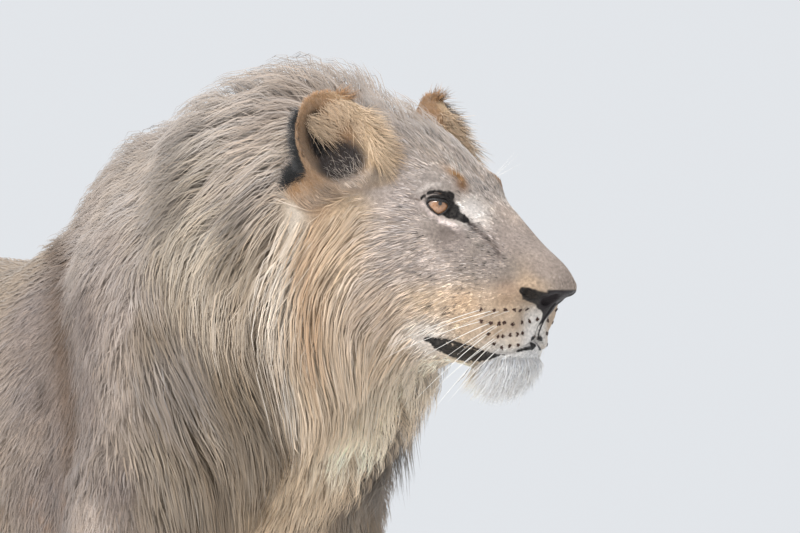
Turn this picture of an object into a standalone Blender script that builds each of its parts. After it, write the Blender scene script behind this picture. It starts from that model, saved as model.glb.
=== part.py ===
"""A life-size standing male lion with a young mane, as separate solids.

World frame: +X runs along the trunk towards the head, +Y is the lion's left, +Z is up.
The lion is first modelled with its withers over the world's origin and its paws on z = 0,
then moved so that the origin is the middle of the bounding box, at the floor.

The flesh is modelled whole: lofted tubes and rounded masses, fused by a voxel remesh,
smoothed, thinned to few faces and parted by flat cuts.  Face sizes are measured in the
head's own frame: x forward, y left, z up, from the tip of the nose.
"""

import math

import bmesh
import bpy
import numpy as np
from mathutils import Matrix, Vector

# ---- driving sizes, in metres ----
WITHERS_HEIGHT = 1.07
BACK_HEIGHT = 0.97  # behind the shoulders
CROUP_HEIGHT = 0.995
BELLY_HEIGHT = 0.56
TRUNK_HALF_WIDTH = 0.205
CHEST_FRONT = 0.16  # X of the breast, ahead of the withers
RUMP_BACK = -1.06  # X of the buttocks
NOSE_TIP = Vector((0.485, 0.137, 0.93))
HEAD_TURN = math.radians(26)  # to the lion's left
FORE_STANCE = 0.148  # half the distance between the fore paws
HIND_STANCE = 0.145
FORE_PAW_X = {"right": 0.075, "left": -0.065}
HIND_PAW_X = {"right": -0.96, "left": -0.84}
PAW_HALF_WIDTH = 0.066
FORE_PAW_LEAD = 0.050  # from the wrist line to the paw's middle
HIND_PAW_LEAD = 0.035
HIND_PAW_SCALE = 0.93
TOE_GROOVE = ((0.070, 0.012), (0.068, 0.030), (0.056, 0.048), (0.036, 0.060))
TOE_ROWS = ((-1.5, 0.0), (-0.5, 0.016), (0.5, 0.016), (1.5, 0.0))  # sideways step, lead
EYE_PLACE = Vector((-0.152, 0.052, 0.0945))  # middle of the left eyeball, in the head's frame
EYE_RADIUS = 0.0185
EAR_PLACE = Vector((-0.245, 0.114, 0.162))  # middle of the left ear's cup
EAR_SIZE = (0.034, 0.052, 0.070)  # half its depth, width and height
EAR_OUTWARD = math.radians(48)
TAIL_RADIUS = 0.024
CLAW_LENGTH = 0.024
CLAW_HEIGHT = 0.026
PART_GAP = 0.0004  # left open between pieces that touch
FUSE_VOXEL = 0.0065
CUTTING_FACES = 40000
PIECE_FACES = {
    "head": 1800,
    "jaw": 320,
    "nose": 150,
    "neck": 1000,
    "chest": 640,
    "loin": 220,
    "rump": 500,
    "tail": 120,
    "tail_tuft": 100,
    "paw": 300,
    "foot": 110,
    "shank": 160,
    "ear": 210,
}
FACE_BACK = -0.268  # X of the cut behind the face, in the head's frame
PAW_TOP = 0.095
EAR_WALL = 0.010
MERGE_DISTANCE = 0.00005
SHARP_ANGLE = math.radians(50)

SIDES = {"left": 1, "right": -1}

HEAD_AXES = Matrix.Translation(NOSE_TIP) @ Matrix.Rotation(HEAD_TURN, 4, "Z")
JAW_TILT = Matrix.Rotation(math.radians(2), 4, "Y")
NOSE_TILT = Matrix.Rotation(math.radians(-12), 4, "Y")
NECK_TILT = Matrix.Rotation(math.radians(-14), 4, "Y")


# ---- helpers ----
def clear_scene():
    for obj in list(bpy.data.objects):
        bpy.data.objects.remove(obj)


def new_material(name, colour, roughness):
    made = bpy.data.materials.new(name)
    made.use_nodes = True
    shader = made.node_tree.nodes["Principled BSDF"]
    shader.inputs["Base Color"].default_value = (*colour, 1)
    shader.inputs["Roughness"].default_value = roughness
    shader.inputs["Metallic"].default_value = 0
    return made


def add_object(name, bm, material=None, place=None):
    mesh = bpy.data.meshes.new(name)
    if place is not None:
        bm.transform(place)
    bm.to_mesh(mesh)
    bm.free()
    obj = bpy.data.objects.new(name, mesh)
    bpy.context.scene.collection.objects.link(obj)
    if material:
        mesh.materials.append(material)
    return obj


def rows_between(rows, count):
    """Catmull-Rom rows through the given ones, count to each stretch."""
    rows = np.array(rows, float)
    ends = np.vstack([2 * rows[0] - rows[1], rows, 2 * rows[-1] - rows[-2]])
    made = []
    for i in range(len(rows) - 1):
        a, b, c, d = ends[i : i + 4]
        for t in np.arange(count) / count:
            made.append(
                0.5 * (2 * b + (c - a) * t + (2 * a - 5 * b + 4 * c - d) * t**2 + (3 * b - a - 3 * c + d) * t**3)
            )
    made.append(rows[-1])
    return np.array(made)


def tube(bm, rows, sides=28, count=4, place=None):
    """A closed tube through rows of (x, y, z, half-width, half-depth, taper, squareness).

    Half-width runs sideways and half-depth across the tube in its own plane.  Taper makes
    the upper side narrower than the lower, and squareness of 2 is an ellipse."""
    place = place or Matrix.Identity(4)
    rows = rows_between(rows, count)
    turns = np.arange(sides) * 2 * math.pi / sides
    rings = []
    up = Vector((0.3, 0, 1))
    for i, (x, y, z, width, depth, taper, square) in enumerate(rows):
        along = Vector(rows[min(i + 1, len(rows) - 1)][:3] - rows[max(i - 1, 0)][:3]).normalized()
        side = Vector((0, 1, 0))
        side = (side - along * side.dot(along)).normalized()
        turned = along.cross(side)
        up = turned if turned.dot(up) > 0 else -turned
        ring = []
        for turn in turns:
            c, s = math.cos(turn), math.sin(turn)
            c = math.copysign(abs(c) ** (2 / square), c)
            s = math.copysign(abs(s) ** (2 / square), s)
            point = Vector((x, y, z)) + side * (c * width * (1 - taper * s)) + up * (s * depth)
            ring.append(bm.verts.new(place @ point))
        rings.append(ring)
    for first, second in zip(rings, rings[1:]):
        for k in range(sides):
            bm.faces.new((first[k], first[(k + 1) % sides], second[(k + 1) % sides], second[k]))
    bm.faces.new(rings[0][::-1])
    bm.faces.new(rings[-1])


def mass(bm, centre, radii, pitch=0.0, turn=0.0, place=None):
    """A rounded mass.  Pitch tips its front end down and turn swings it to the left, in degrees."""
    place = place or Matrix.Identity(4)
    shape = (
        place
        @ Matrix.Translation(centre)
        @ Matrix.Rotation(math.radians(turn), 4, "Z")
        @ Matrix.Rotation(math.radians(pitch), 4, "Y")
        @ Matrix.Diagonal((*radii, 1))
    )
    bmesh.ops.create_icosphere(bm, subdivisions=3, radius=1, matrix=shape)


def evaluated_copy(obj, name):
    graph = bpy.context.evaluated_depsgraph_get()
    mesh = bpy.data.meshes.new_from_object(obj.evaluated_get(graph))
    bpy.data.objects.remove(obj)
    made = bpy.data.objects.new(name, mesh)
    bpy.context.scene.collection.objects.link(made)
    return made


def fused(name, bm, voxel, fillet, rounds):
    """The masses in bm as one skin, its creases filled by growing it and shrinking it again."""
    bmesh.ops.recalc_face_normals(bm, faces=bm.faces)
    obj = add_object(name, bm)
    for step, growth in enumerate((fillet, -fillet) if fillet else (0,)):
        remesh = obj.modifiers.new(f"fuse_{step}", "REMESH")
        remesh.mode = "VOXEL"
        remesh.voxel_size = voxel
        swell = obj.modifiers.new(f"swell_{step}", "DISPLACE")
        swell.mid_level = 0
        swell.strength = growth
    smooth = obj.modifiers.new("smooth", "SMOOTH")
    smooth.factor = 0.5
    smooth.iterations = rounds
    return evaluated_copy(obj, name)


def press(obj, places, place):
    """Moves the surface in or out round each (centre, radius, depth), along the local normal."""
    mesh = obj.data
    points = np.array([v.co for v in mesh.vertices])
    normals = np.array([v.normal for v in mesh.vertices])
    for centre, radius, depth in places:
        away = np.linalg.norm(points - np.array(place @ Vector(centre)), axis=1) / radius
        strength = np.clip(1 - away**2, 0, 1) ** 2
        points += normals * (strength * depth)[:, None]
    mesh.vertices.foreach_set("co", points.astype(np.float32).ravel())
    mesh.update()


# ---- the body ----
def trunk_rows():
    """Along the back: x, height of the back, height of the belly, half-width, taper."""
    w = TRUNK_HALF_WIDTH
    outline = (
        (CHEST_FRONT, 0.84, 0.68, 0.24 * w, 0.0),
        (0.10, 0.95, 0.60, 0.45 * w, 0.05),
        (0.02, WITHERS_HEIGHT - 0.05, BELLY_HEIGHT + 0.005, 0.66 * w, 0.28),
        (-0.12, WITHERS_HEIGHT - 0.01, BELLY_HEIGHT - 0.01, 0.84 * w, 0.34),
        (-0.24, WITHERS_HEIGHT - 0.04, BELLY_HEIGHT - 0.015, 0.93 * w, 0.34),
        (-0.36, BACK_HEIGHT + 0.005, BELLY_HEIGHT - 0.01, w, 0.18),
        (-0.52, BACK_HEIGHT, BELLY_HEIGHT + 0.005, 0.97 * w, 0.12),
        (-0.70, CROUP_HEIGHT - 0.015, BELLY_HEIGHT + 0.04, 0.84 * w, 0.12),
        (-0.86, CROUP_HEIGHT, 0.66, 0.76 * w, 0.15),
        (-0.99, CROUP_HEIGHT - 0.05, 0.74, 0.60 * w, 0.10),
        (RUMP_BACK, 0.87, 0.78, 0.28 * w, 0.0),
    )
    return [(x, 0, (top + low) / 2, width, (top - low) / 2, taper, 2.2) for x, top, low, width, taper in outline]


def neck_rows():
    """From the withers to the skull, mane included: x, crest, throat, half-width, taper."""
    outline = (
        (-0.42, 0.975, 0.84, 0.03, 0.30),
        (-0.34, 1.014, 0.78, 0.060, 0.40),
        (-0.27, 1.078, 0.73, 0.095, 0.40),
        (-0.19, 1.131, 0.68, 0.130, 0.38),
        (-0.10, 1.145, 0.64, 0.150, 0.30),
        (-0.01, 1.167, 0.62, 0.157, 0.20),
        (0.07, 1.192, 0.64, 0.155, 0.08),
        (0.14, 1.212, 0.69, 0.150, 0.04),
        (0.20, 1.220, 0.75, 0.138, 0.08),
        (0.26, 1.195, 0.82, 0.100, 0.10),
    )
    return [(x, 0, (top + low) / 2, width, (top - low) / 2, taper, 2.1) for x, top, low, width, taper in outline]


def fore_leg(bm, side, paw_x):
    s = SIDES[side]
    y = s * FORE_STANCE
    shift = paw_x - 0.03
    shoulder = (
        (-0.14, s * 0.065, 1.020, 0.035, 0.075, 0, 2),
        (-0.10 + 0.2 * shift, s * 0.105, 0.94, 0.058, 0.105, 0, 2),
        (-0.04 + 0.5 * shift, s * 0.124, 0.83, 0.064, 0.110, 0, 2),
        (-0.035 + 0.5 * shift, s * 0.130, 0.72, 0.063, 0.108, 0, 2),
        (-0.05 + 0.2 * shift, s * 0.135, 0.62, 0.057, 0.088, 0, 2),
    )
    tube(bm, shoulder, sides=20)
    forearm = (
        (-0.01, y * 0.96, 0.74, 0.060, 0.100, 0, 2),
        (-0.035 + 0.1 * shift, y * 0.97, 0.62, 0.060, 0.085, 0, 2),
        (-0.025 + 0.35 * shift, y, 0.50, 0.054, 0.069, 0, 2),
        (-0.01 + 0.65 * shift, y, 0.37, 0.046, 0.055, 0, 2),
        (0.00 + 0.9 * shift, y, 0.25, 0.045, 0.050, 0, 2),
        (0.00 + 1.0 * shift, y, 0.185, 0.048, 0.052, 0, 2),
        (0.01 + 1.0 * shift, y, 0.115, 0.048, 0.048, 0, 2),
        (0.03 + 1.0 * shift, y, 0.060, 0.052, 0.052, 0, 2),
    )
    tube(bm, forearm, sides=20)
    paw(bm, paw_x + FORE_PAW_LEAD, y, 1.0)


def hind_leg(bm, side, paw_x):
    s = SIDES[side]
    y = s * HIND_STANCE
    shift = paw_x + 0.90
    thigh = (
        (-0.86, s * 0.070, 0.95, 0.025, 0.05, 0, 2),
        (-0.87, s * 0.105, 0.88, 0.068, 0.135, 0, 2),
        (-0.86 + 0.1 * shift, s * 0.135, 0.76, 0.075, 0.165, 0, 2),
        (-0.81 + 0.2 * shift, y, 0.64, 0.066, 0.130, 0, 2),
        (-0.79 + 0.3 * shift, y, 0.55, 0.055, 0.092, 0, 2),
        (-0.84 + 0.55 * shift, y, 0.45, 0.044, 0.066, 0, 2),
        (-0.915 + 0.85 * shift, y, 0.355, 0.034, 0.048, 0, 2),
        (-0.955 + 1.0 * shift, y, 0.29, 0.032, 0.042, 0, 2),
        (-0.950 + 1.0 * shift, y, 0.21, 0.033, 0.038, 0, 2),
        (-0.935 + 1.0 * shift, y, 0.12, 0.036, 0.038, 0, 2),
        (-0.915 + 1.0 * shift, y, 0.055, 0.043, 0.046, 0, 2),
    )
    tube(bm, thigh, sides=20)
    mass(bm, (-0.968 + shift, y, 0.315), (0.026, 0.024, 0.045), pitch=-15)
    paw(bm, paw_x + HIND_PAW_LEAD, y, HIND_PAW_SCALE)


def paw(bm, x, y, scale):
    """Four toes side by side ahead of the pad."""
    w = PAW_HALF_WIDTH * scale
    mass(bm, (x - 0.032, y, 0.033), (0.055 * scale, w * 0.92, 0.041))
    for k, out in TOE_ROWS:
        mass(
            bm,
            (x + 0.018 + out, y + k * w * 0.52, 0.027),
            (0.044 * scale, w * 0.34, 0.034),
            pitch=6,
            turn=5 * k,
        )


def paw_places():
    """Middle and scale of each of the four paws."""
    places = []
    for side, s in SIDES.items():
        places.append((FORE_PAW_X[side] + FORE_PAW_LEAD, s * FORE_STANCE, 1.0))
        places.append((HIND_PAW_X[side] + HIND_PAW_LEAD, s * HIND_STANCE, HIND_PAW_SCALE))
    return places


def tail(bm):
    """Hangs behind the thighs, with its tuft swung a little back."""
    rows = (
        (-0.94, 0, 0.905, 0.030, 0.030, 0, 2),
        (-1.00, 0, 0.925, 0.046, 0.044, 0, 2),
        (-1.07, 0, 0.895, 0.036, 0.036, 0, 2),
        (-1.13, 0.005, 0.83, TAIL_RADIUS * 1.12, TAIL_RADIUS * 1.12, 0, 2),
        (-1.17, 0.015, 0.70, TAIL_RADIUS, TAIL_RADIUS, 0, 2),
        (-1.19, 0.03, 0.55, TAIL_RADIUS * 0.9, TAIL_RADIUS * 0.9, 0, 2),
        (-1.21, 0.04, 0.42, TAIL_RADIUS * 0.85, TAIL_RADIUS * 0.85, 0, 2),
        (-1.235, 0.045, 0.34, 0.036, 0.036, 0, 2),
        (-1.26, 0.045, 0.27, 0.044, 0.044, 0, 2),
        (-1.285, 0.04, 0.20, 0.034, 0.034, 0, 2),
        (-1.305, 0.035, 0.145, 0.010, 0.010, 0, 2),
    )
    tube(bm, rows, sides=16)


def body_form():
    bm = bmesh.new()
    tube(bm, trunk_rows())
    tube(bm, neck_rows())
    for side in SIDES:
        fore_leg(bm, side, FORE_PAW_X[side])
        hind_leg(bm, side, HIND_PAW_X[side])
    tail(bm)
    return bm


# ---- the head ----
# Each row is one section, looking along the head: x, height of the ridge, then (y, z) of the
# brow line, the side line, the cheek line and the lip line, then the height underneath.
HEAD_SECTIONS = (
    (-0.008, 0.017, 0.011, 0.013, 0.019, 0.002, 0.016, -0.008, 0.008, -0.012, -0.013),
    (-0.018, 0.026, 0.018, 0.022, 0.031, 0.004, 0.033, -0.014, 0.018, -0.024, -0.026),
    (-0.038, 0.041, 0.024, 0.037, 0.040, 0.014, 0.051, -0.016, 0.039, -0.038, -0.046),
    (-0.058, 0.057, 0.027, 0.052, 0.045, 0.026, 0.060, -0.017, 0.049, -0.052, -0.086),
    (-0.080, 0.078, 0.030, 0.073, 0.048, 0.040, 0.063, -0.015, 0.052, -0.062, -0.110),
    (-0.104, 0.102, 0.034, 0.096, 0.052, 0.055, 0.062, -0.010, 0.052, -0.066, -0.104),
    (-0.130, 0.132, 0.042, 0.124, 0.064, 0.070, 0.066, 0.000, 0.053, -0.064, -0.094),
    (-0.160, 0.160, 0.055, 0.146, 0.089, 0.072, 0.084, 0.002, 0.064, -0.064, -0.096),
    (-0.190, 0.182, 0.062, 0.166, 0.105, 0.070, 0.102, -0.004, 0.078, -0.072, -0.112),
    (-0.220, 0.198, 0.064, 0.182, 0.113, 0.070, 0.115, -0.010, 0.092, -0.085, -0.138),
    (-0.250, 0.210, 0.062, 0.192, 0.114, 0.072, 0.120, -0.015, 0.098, -0.100, -0.170),
    (-0.290, 0.218, 0.058, 0.198, 0.106, 0.075, 0.112, -0.020, 0.085, -0.105, -0.180),
)

# Low dabs and hollows on the finished surface: x, y, z, radius, height.
HEAD_DABS = (
    (-0.142, 0.066, 0.094, 0.036, -0.0050),  # eye socket
    (-0.139, 0.064, 0.094, 0.022, -0.0055),
    (-0.118, 0.034, 0.084, 0.026, -0.0045),  # inner corner of the eye
    (-0.124, 0.038, 0.124, 0.030, 0.0035),  # brow
    (-0.170, 0.098, 0.060, 0.045, 0.0040),  # cheekbone
    (-0.060, 0.056, -0.020, 0.032, 0.0040),  # whisker pad
    (-0.100, 0.050, 0.030, 0.034, -0.0035),  # hollow above the pad
    (-0.140, 0.062, -0.050, 0.030, -0.0060),  # corner of the mouth
)


def head_loft(bm, arc=5):
    """A closed skin through the head's sections, each one a smooth loop through its ten points."""
    rings = []
    for row in rows_between(HEAD_SECTIONS, 3):
        x, ridge, under = row[0], row[1], row[-1]
        flank = [tuple(row[k : k + 2]) for k in range(2, 10, 2)]
        loop = [(0, ridge), *flank, (0, under), *((-y, z) for y, z in reversed(flank))]
        loop = np.array(loop * 3)
        smooth = rows_between(loop[len(loop) // 3 - 1 : 2 * len(loop) // 3 + 2], arc)[arc:-arc]
        rings.append([bm.verts.new(HEAD_AXES @ Vector((x, y, z))) for y, z in smooth[:-1]])
    for first, second in zip(rings, rings[1:]):
        for k in range(len(first)):
            bm.faces.new((first[k], first[(k + 1) % len(first)], second[(k + 1) % len(first)], second[k]))
    bm.faces.new(rings[0][::-1])
    bm.faces.new(rings[-1])


def ruff(bm):
    """The long hair that frames the cheeks and throat."""
    outline = (
        (-0.168, -0.020, -0.106, 0.040),
        (-0.195, 0.080, -0.136, 0.078),
        (-0.225, 0.160, -0.166, 0.112),
        (-0.255, 0.200, -0.195, 0.134),
        (-0.295, 0.226, -0.225, 0.144),
        (-0.335, 0.236, -0.220, 0.138),
        (-0.375, 0.215, -0.190, 0.110),
    )
    rows = [(x, 0, (top + low) / 2, width, (top - low) / 2, -0.12, 2.1) for x, top, low, width in outline]
    tube(bm, rows, sides=36, place=HEAD_AXES)


def flesh():
    """Body and head as one skin, its soles cut flat on the floor."""
    bm = bmesh.new()
    head_loft(bm)
    head = fused("head", bm, 0.005, 0.0, 2)
    bm = body_form()
    ruff(bm)
    body = fused("body", bm, 0.009, 0.036, 14)
    bm = bmesh.new()
    for obj in (body, head):
        bm.from_mesh(obj.data)
        bpy.data.objects.remove(obj)
    whole = fused("flesh", bm, FUSE_VOXEL, 0.018, 5)
    dabs = [
        (Vector((x, side * y, z)), radius, height)
        for x, y, z, radius, height in HEAD_DABS
        for side in SIDES.values()
    ]
    press(whole, dabs, HEAD_AXES)
    grooves = []
    for x, y, scale in paw_places():
        for k in (-1, 0, 1):
            for out, height in TOE_GROOVE:
                spot = Vector((x + out * scale, y + k * PAW_HALF_WIDTH * scale * 0.52, height))
                grooves.append((spot, 0.016, -0.0075))
    press(whole, grooves, Matrix.Identity(4))
    return whole


# ---- parting ----
def box(lows, highs, place=None, grow=0.0):
    """A closed box between two corners, turned by place."""
    middle = (Vector(lows) + Vector(highs)) / 2
    size = Vector(highs) - Vector(lows) + Vector((2 * grow,) * 3)
    bm = bmesh.new()
    bmesh.ops.create_cube(bm, size=1, matrix=Matrix.Translation(middle) @ Matrix.Diagonal((*size, 1)))
    return add_object("cutter", bm, place=place)


def cut(obj, cutter, operation, name):
    """The named copy of obj kept inside or outside the cutter."""
    made = obj.copy()
    made.data = obj.data.copy()
    bpy.context.scene.collection.objects.link(made)
    step = made.modifiers.new("cut", "BOOLEAN")
    step.operation = operation
    step.solver = "EXACT"
    step.object = cutter
    return evaluated_copy(made, name)


def split_off(rest, name, lows, highs, place=None):
    """Parts the piece inside the box from the rest, leaving the gap open between them."""
    inner = box(lows, highs, place)
    outer = box(lows, highs, place, grow=PART_GAP)
    piece = cut(rest, inner, "INTERSECT", name)
    left = cut(rest, outer, "DIFFERENCE", rest.name)
    for obj in (inner, outer, rest):
        bpy.data.objects.remove(obj)
    return piece, left


def largest_island(bm):
    """Deletes all but the biggest connected piece, such as crumbs shaved off by a box."""
    seen = set()
    islands = []
    for start in bm.verts:
        if start in seen:
            continue
        seen.add(start)
        island = [start]
        for vert in island:
            for edge in vert.link_edges:
                other = edge.other_vert(vert)
                if other not in seen:
                    seen.add(other)
                    island.append(other)
        islands.append(island)
    islands.sort(key=len)
    crumbs = [vert for island in islands[:-1] for vert in island]
    bmesh.ops.delete(bm, geom=crumbs, context="VERTS")


def tidy(obj):
    """Welds slivers left by a cut, keeps one closed body and points its faces outwards."""
    bm = bmesh.new()
    bm.from_mesh(obj.data)
    bmesh.ops.remove_doubles(bm, verts=bm.verts, dist=MERGE_DISTANCE)
    bmesh.ops.dissolve_degenerate(bm, edges=bm.edges, dist=MERGE_DISTANCE)
    largest_island(bm)
    open_edges = [edge for edge in bm.edges if not edge.is_manifold]
    bmesh.ops.holes_fill(bm, edges=open_edges, sides=0)
    bmesh.ops.triangulate(bm, faces=bm.faces)
    bmesh.ops.recalc_face_normals(bm, faces=bm.faces)
    bm.to_mesh(obj.data)
    bm.free()


def thinned(obj, faces):
    """The same form with about so many triangles."""
    count = sum(len(face.vertices) - 2 for face in obj.data.polygons)
    step = obj.modifiers.new("thin", "DECIMATE")
    step.ratio = min(1, faces / count)
    return evaluated_copy(obj, obj.name)


def parted(whole):
    """The flesh as named pieces, cut one after another from the whole."""
    pieces = []
    far = 2.0
    for side, s in SIDES.items():
        lane = sorted((s * 0.02, s * 0.4))
        for leg, knee, ankle, front, back in (
            ("fore", 0.535, 0.20, 0.30, -0.30),
            ("hind", 0.52, 0.30, -0.60, -1.14),
        ):
            for joint, low, high in (("paw", -0.1, PAW_TOP), ("foot", PAW_TOP, ankle), ("shank", ankle, knee)):
                name = f"{leg}_{side}_{joint}"
                low += PART_GAP if joint != "paw" else 0
                piece, whole = split_off(whole, name, (back, lane[0], low), (front, lane[1], high))
                pieces.append(piece)
    for name, lows, highs, place in (
        ("jaw", (-0.140, -0.2, -0.115), (0.1, 0.2, -0.061), HEAD_AXES @ JAW_TILT),
        ("nose", (-0.034, -0.1, -0.040), (0.1, 0.1, 0.006), HEAD_AXES @ NOSE_TILT),
        ("head", (FACE_BACK, -0.3, -0.126), (0.1, 0.3, 0.4), HEAD_AXES),
        ("tail_tuft", (-far, -far, 0), (-1.16, far, 0.385), None),
        ("tail", (-far, -far, 0.385 + PART_GAP), (-1.03, far, 0.98), None),
        ("neck", (0.03, -far, 0.50), (far, far, far), NECK_TILT),
        ("rump", (-far, -far, 0.3), (-0.68, far, far), None),
        ("loin", (-0.68 + PART_GAP, -far, 0.3), (-0.38, far, far), None),
    ):
        piece, whole = split_off(whole, name, lows, highs, place)
        pieces.append(piece)
    whole.name = "chest"
    return [*pieces, whole]


# ---- ears, eyes and claws ----
def ear(side):
    """A rounded cup, open forwards and outwards."""
    s = SIDES[side]
    depth, width, height = EAR_SIZE
    place = (
        HEAD_AXES
        @ Matrix.Translation((EAR_PLACE.x, s * EAR_PLACE.y, EAR_PLACE.z))
        @ Matrix.Rotation(s * EAR_OUTWARD, 4, "Z")
        @ Matrix.Rotation(math.radians(-14), 4, "Y")
        @ Matrix.Rotation(math.radians(-s * 18), 4, "X")
    )
    bm = bmesh.new()
    mass(bm, (0, 0, 0), (depth, width, height), place=place)
    cup = add_object(f"ear_{side}", bm)
    bm = bmesh.new()
    hollow = (depth * 0.95, width - EAR_WALL, height - EAR_WALL)
    mass(bm, (depth * 0.75, 0, EAR_WALL * 0.4), hollow, place=place)
    scoop = add_object("cutter", bm)
    made = cut(cup, scoop, "DIFFERENCE", "cup")
    for obj in (cup, scoop):
        bpy.data.objects.remove(obj)
    return made


def eye(side):
    s = SIDES[side]
    place = HEAD_AXES @ Matrix.Translation((EYE_PLACE.x, s * EYE_PLACE.y, EYE_PLACE.z))
    bm = bmesh.new()
    bmesh.ops.create_uvsphere(bm, u_segments=14, v_segments=8, radius=EYE_RADIUS, matrix=place)
    return add_object(f"eye_{side}", bm)


def claws(side, leg):
    """Four short hooked spikes, their roots sunk into the toes."""
    x, y, scale = paw_places()[2 * list(SIDES).index(side) + ("fore", "hind").index(leg)]
    rows = (
        (-CLAW_LENGTH * 0.5, 0, 0.002, 0.0026, 0.0044, 0, 2),
        (CLAW_LENGTH * 0.1, 0, 0, 0.0022, 0.0036, 0, 2),
        (CLAW_LENGTH * 0.5, 0, -0.006, 0.0006, 0.0008, 0, 2),
    )
    made = []
    for number, (k, out) in enumerate(TOE_ROWS, 1):
        place = (
            Matrix.Translation((x + 0.018 + out, y + k * PAW_HALF_WIDTH * scale * 0.52, CLAW_HEIGHT))
            @ Matrix.Rotation(math.radians(5 * k), 4, "Z")
            @ Matrix.Translation((0.037 * scale, 0, 0))
        )
        bm = bmesh.new()
        tube(bm, rows, sides=6, count=1, place=place)
        made.append(add_object(f"{leg}_{side}_claw_{number}", bm))
    return made


def swollen(obj, gap):
    """A cutter with the shape of obj, grown by the gap."""
    bm = bmesh.new()
    bm.from_mesh(obj.data)
    bmesh.ops.recalc_face_normals(bm, faces=bm.faces)
    bm.normal_update()
    for vert, away in [(v, v.normal.copy()) for v in bm.verts]:
        vert.co += away * gap
    return add_object("cutter", bm)


def seat(obj, insets):
    """Cuts a bed for each inset out of obj and keeps its name."""
    name = obj.name
    for inset in insets:
        cutter = swollen(inset, PART_GAP)
        made = cut(obj, cutter, "DIFFERENCE", "seated")
        for old in (obj, cutter):
            bpy.data.objects.remove(old)
        obj = made
    obj.name = name
    return obj


# ---- finishing ----
COLOURS = {  # base colour and roughness by kind
    "head": ((0.47, 0.37, 0.28), 0.85),
    "jaw": ((0.58, 0.54, 0.50), 0.85),
    "nose": ((0.012, 0.011, 0.012), 0.45),
    "neck": ((0.44, 0.34, 0.24), 0.9),
    "eye": ((0.27, 0.15, 0.06), 0.15),
    "ear": ((0.36, 0.24, 0.14), 0.85),
    "claw": ((0.42, 0.36, 0.28), 0.4),
    "tail_tuft": ((0.05, 0.04, 0.03), 0.9),
    "body": ((0.40, 0.31, 0.23), 0.85),
}


def finish(obj, root):
    """Gives the piece its own material, smooth faces, its own origin and its parent."""
    kind = obj.name if obj.name in COLOURS else "body"
    for word in ("eye", "ear", "claw"):
        if word in obj.name.split("_"):
            kind = word
    colour, roughness = COLOURS[kind]
    obj.data.materials.clear()
    obj.data.materials.append(new_material(obj.name, colour, roughness))
    obj.data.name = obj.name
    obj.data.shade_smooth()
    obj.data.set_sharp_from_angle(angle=SHARP_ANGLE)
    points = np.array([v.co for v in obj.data.vertices])
    middle = Vector((points.min(axis=0) + points.max(axis=0)) / 2)
    obj.data.transform(Matrix.Translation(-middle))
    obj.location = middle
    obj.parent = root


def shift_of(objects):
    """From the middle of the bounding box's floor to the world's origin."""
    points = np.vstack([[v.co for v in obj.data.vertices] for obj in objects])
    low, high = points.min(axis=0), points.max(axis=0)
    return -Vector(((low[0] + high[0]) / 2, (low[1] + high[1]) / 2, low[2]))


def flat_soled(paw_piece):
    """The paw cut flat at the floor."""
    below = box((-2, -2, -1), (2, 2, 0))
    made = cut(paw_piece, below, "DIFFERENCE", "flat")
    name = paw_piece.name
    for obj in (paw_piece, below):
        bpy.data.objects.remove(obj)
    made.name = name
    return made


def main():
    clear_scene()
    whole = thinned(flesh(), CUTTING_FACES)
    pieces = {}
    for obj in parted(whole):
        tidy(obj)
        kind = obj.name.split("_")[-1] if obj.name[:4] in ("fore", "hind") else obj.name
        obj = thinned(obj, PIECE_FACES[kind])
        tidy(obj)
        pieces[obj.name] = obj
    for side in SIDES:
        made_eye = eye(side)
        pieces["head"] = seat(pieces["head"], [made_eye])
        pieces[made_eye.name] = made_eye
        for leg in ("fore", "hind"):
            made_claws = claws(side, leg)
            paw_name = f"{leg}_{side}_paw"
            pieces[paw_name] = seat(flat_soled(pieces[paw_name]), made_claws)
            pieces.update({obj.name: obj for obj in made_claws})
    for side in SIDES:
        name = f"ear_{side}"
        pieces[name] = seat(thinned(ear(side), PIECE_FACES["ear"]), [pieces["head"], pieces["neck"]])
        pieces[name].name = name
    for obj in pieces.values():
        tidy(obj)
    root = bpy.data.objects.new("lion", None)
    bpy.context.scene.collection.objects.link(root)
    root.location = shift_of(pieces.values())
    for obj in pieces.values():
        finish(obj, root)


main()
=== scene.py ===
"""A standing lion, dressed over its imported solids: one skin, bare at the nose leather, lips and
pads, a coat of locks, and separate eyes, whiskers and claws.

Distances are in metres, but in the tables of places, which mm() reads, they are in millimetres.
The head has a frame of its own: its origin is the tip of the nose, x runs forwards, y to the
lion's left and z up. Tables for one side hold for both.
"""

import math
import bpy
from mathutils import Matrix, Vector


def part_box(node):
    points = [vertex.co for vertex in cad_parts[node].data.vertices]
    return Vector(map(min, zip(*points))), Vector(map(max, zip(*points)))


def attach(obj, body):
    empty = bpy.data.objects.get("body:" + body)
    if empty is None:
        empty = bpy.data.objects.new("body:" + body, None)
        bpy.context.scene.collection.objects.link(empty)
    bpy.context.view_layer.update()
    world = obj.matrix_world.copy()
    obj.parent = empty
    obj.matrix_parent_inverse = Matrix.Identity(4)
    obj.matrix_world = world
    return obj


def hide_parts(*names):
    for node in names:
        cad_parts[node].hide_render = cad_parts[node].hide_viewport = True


bl_info = {
    "name": "Standing Lion",
    "version": (1, 0, 0),
    "blender": (4, 5, 0),
    "location": "3D View > Sidebar > Lion",
    "description": "Dresses the packed lion with a skin, a coat of locks, eyes, nose, whiskers and claws",
    "category": "Object",
}

import time
from types import SimpleNamespace

import bmesh
import bpy
import numpy as np
from mathutils import Matrix, Vector, noise
from mathutils.bvhtree import BVHTree
from mathutils.kdtree import KDTree

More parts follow.
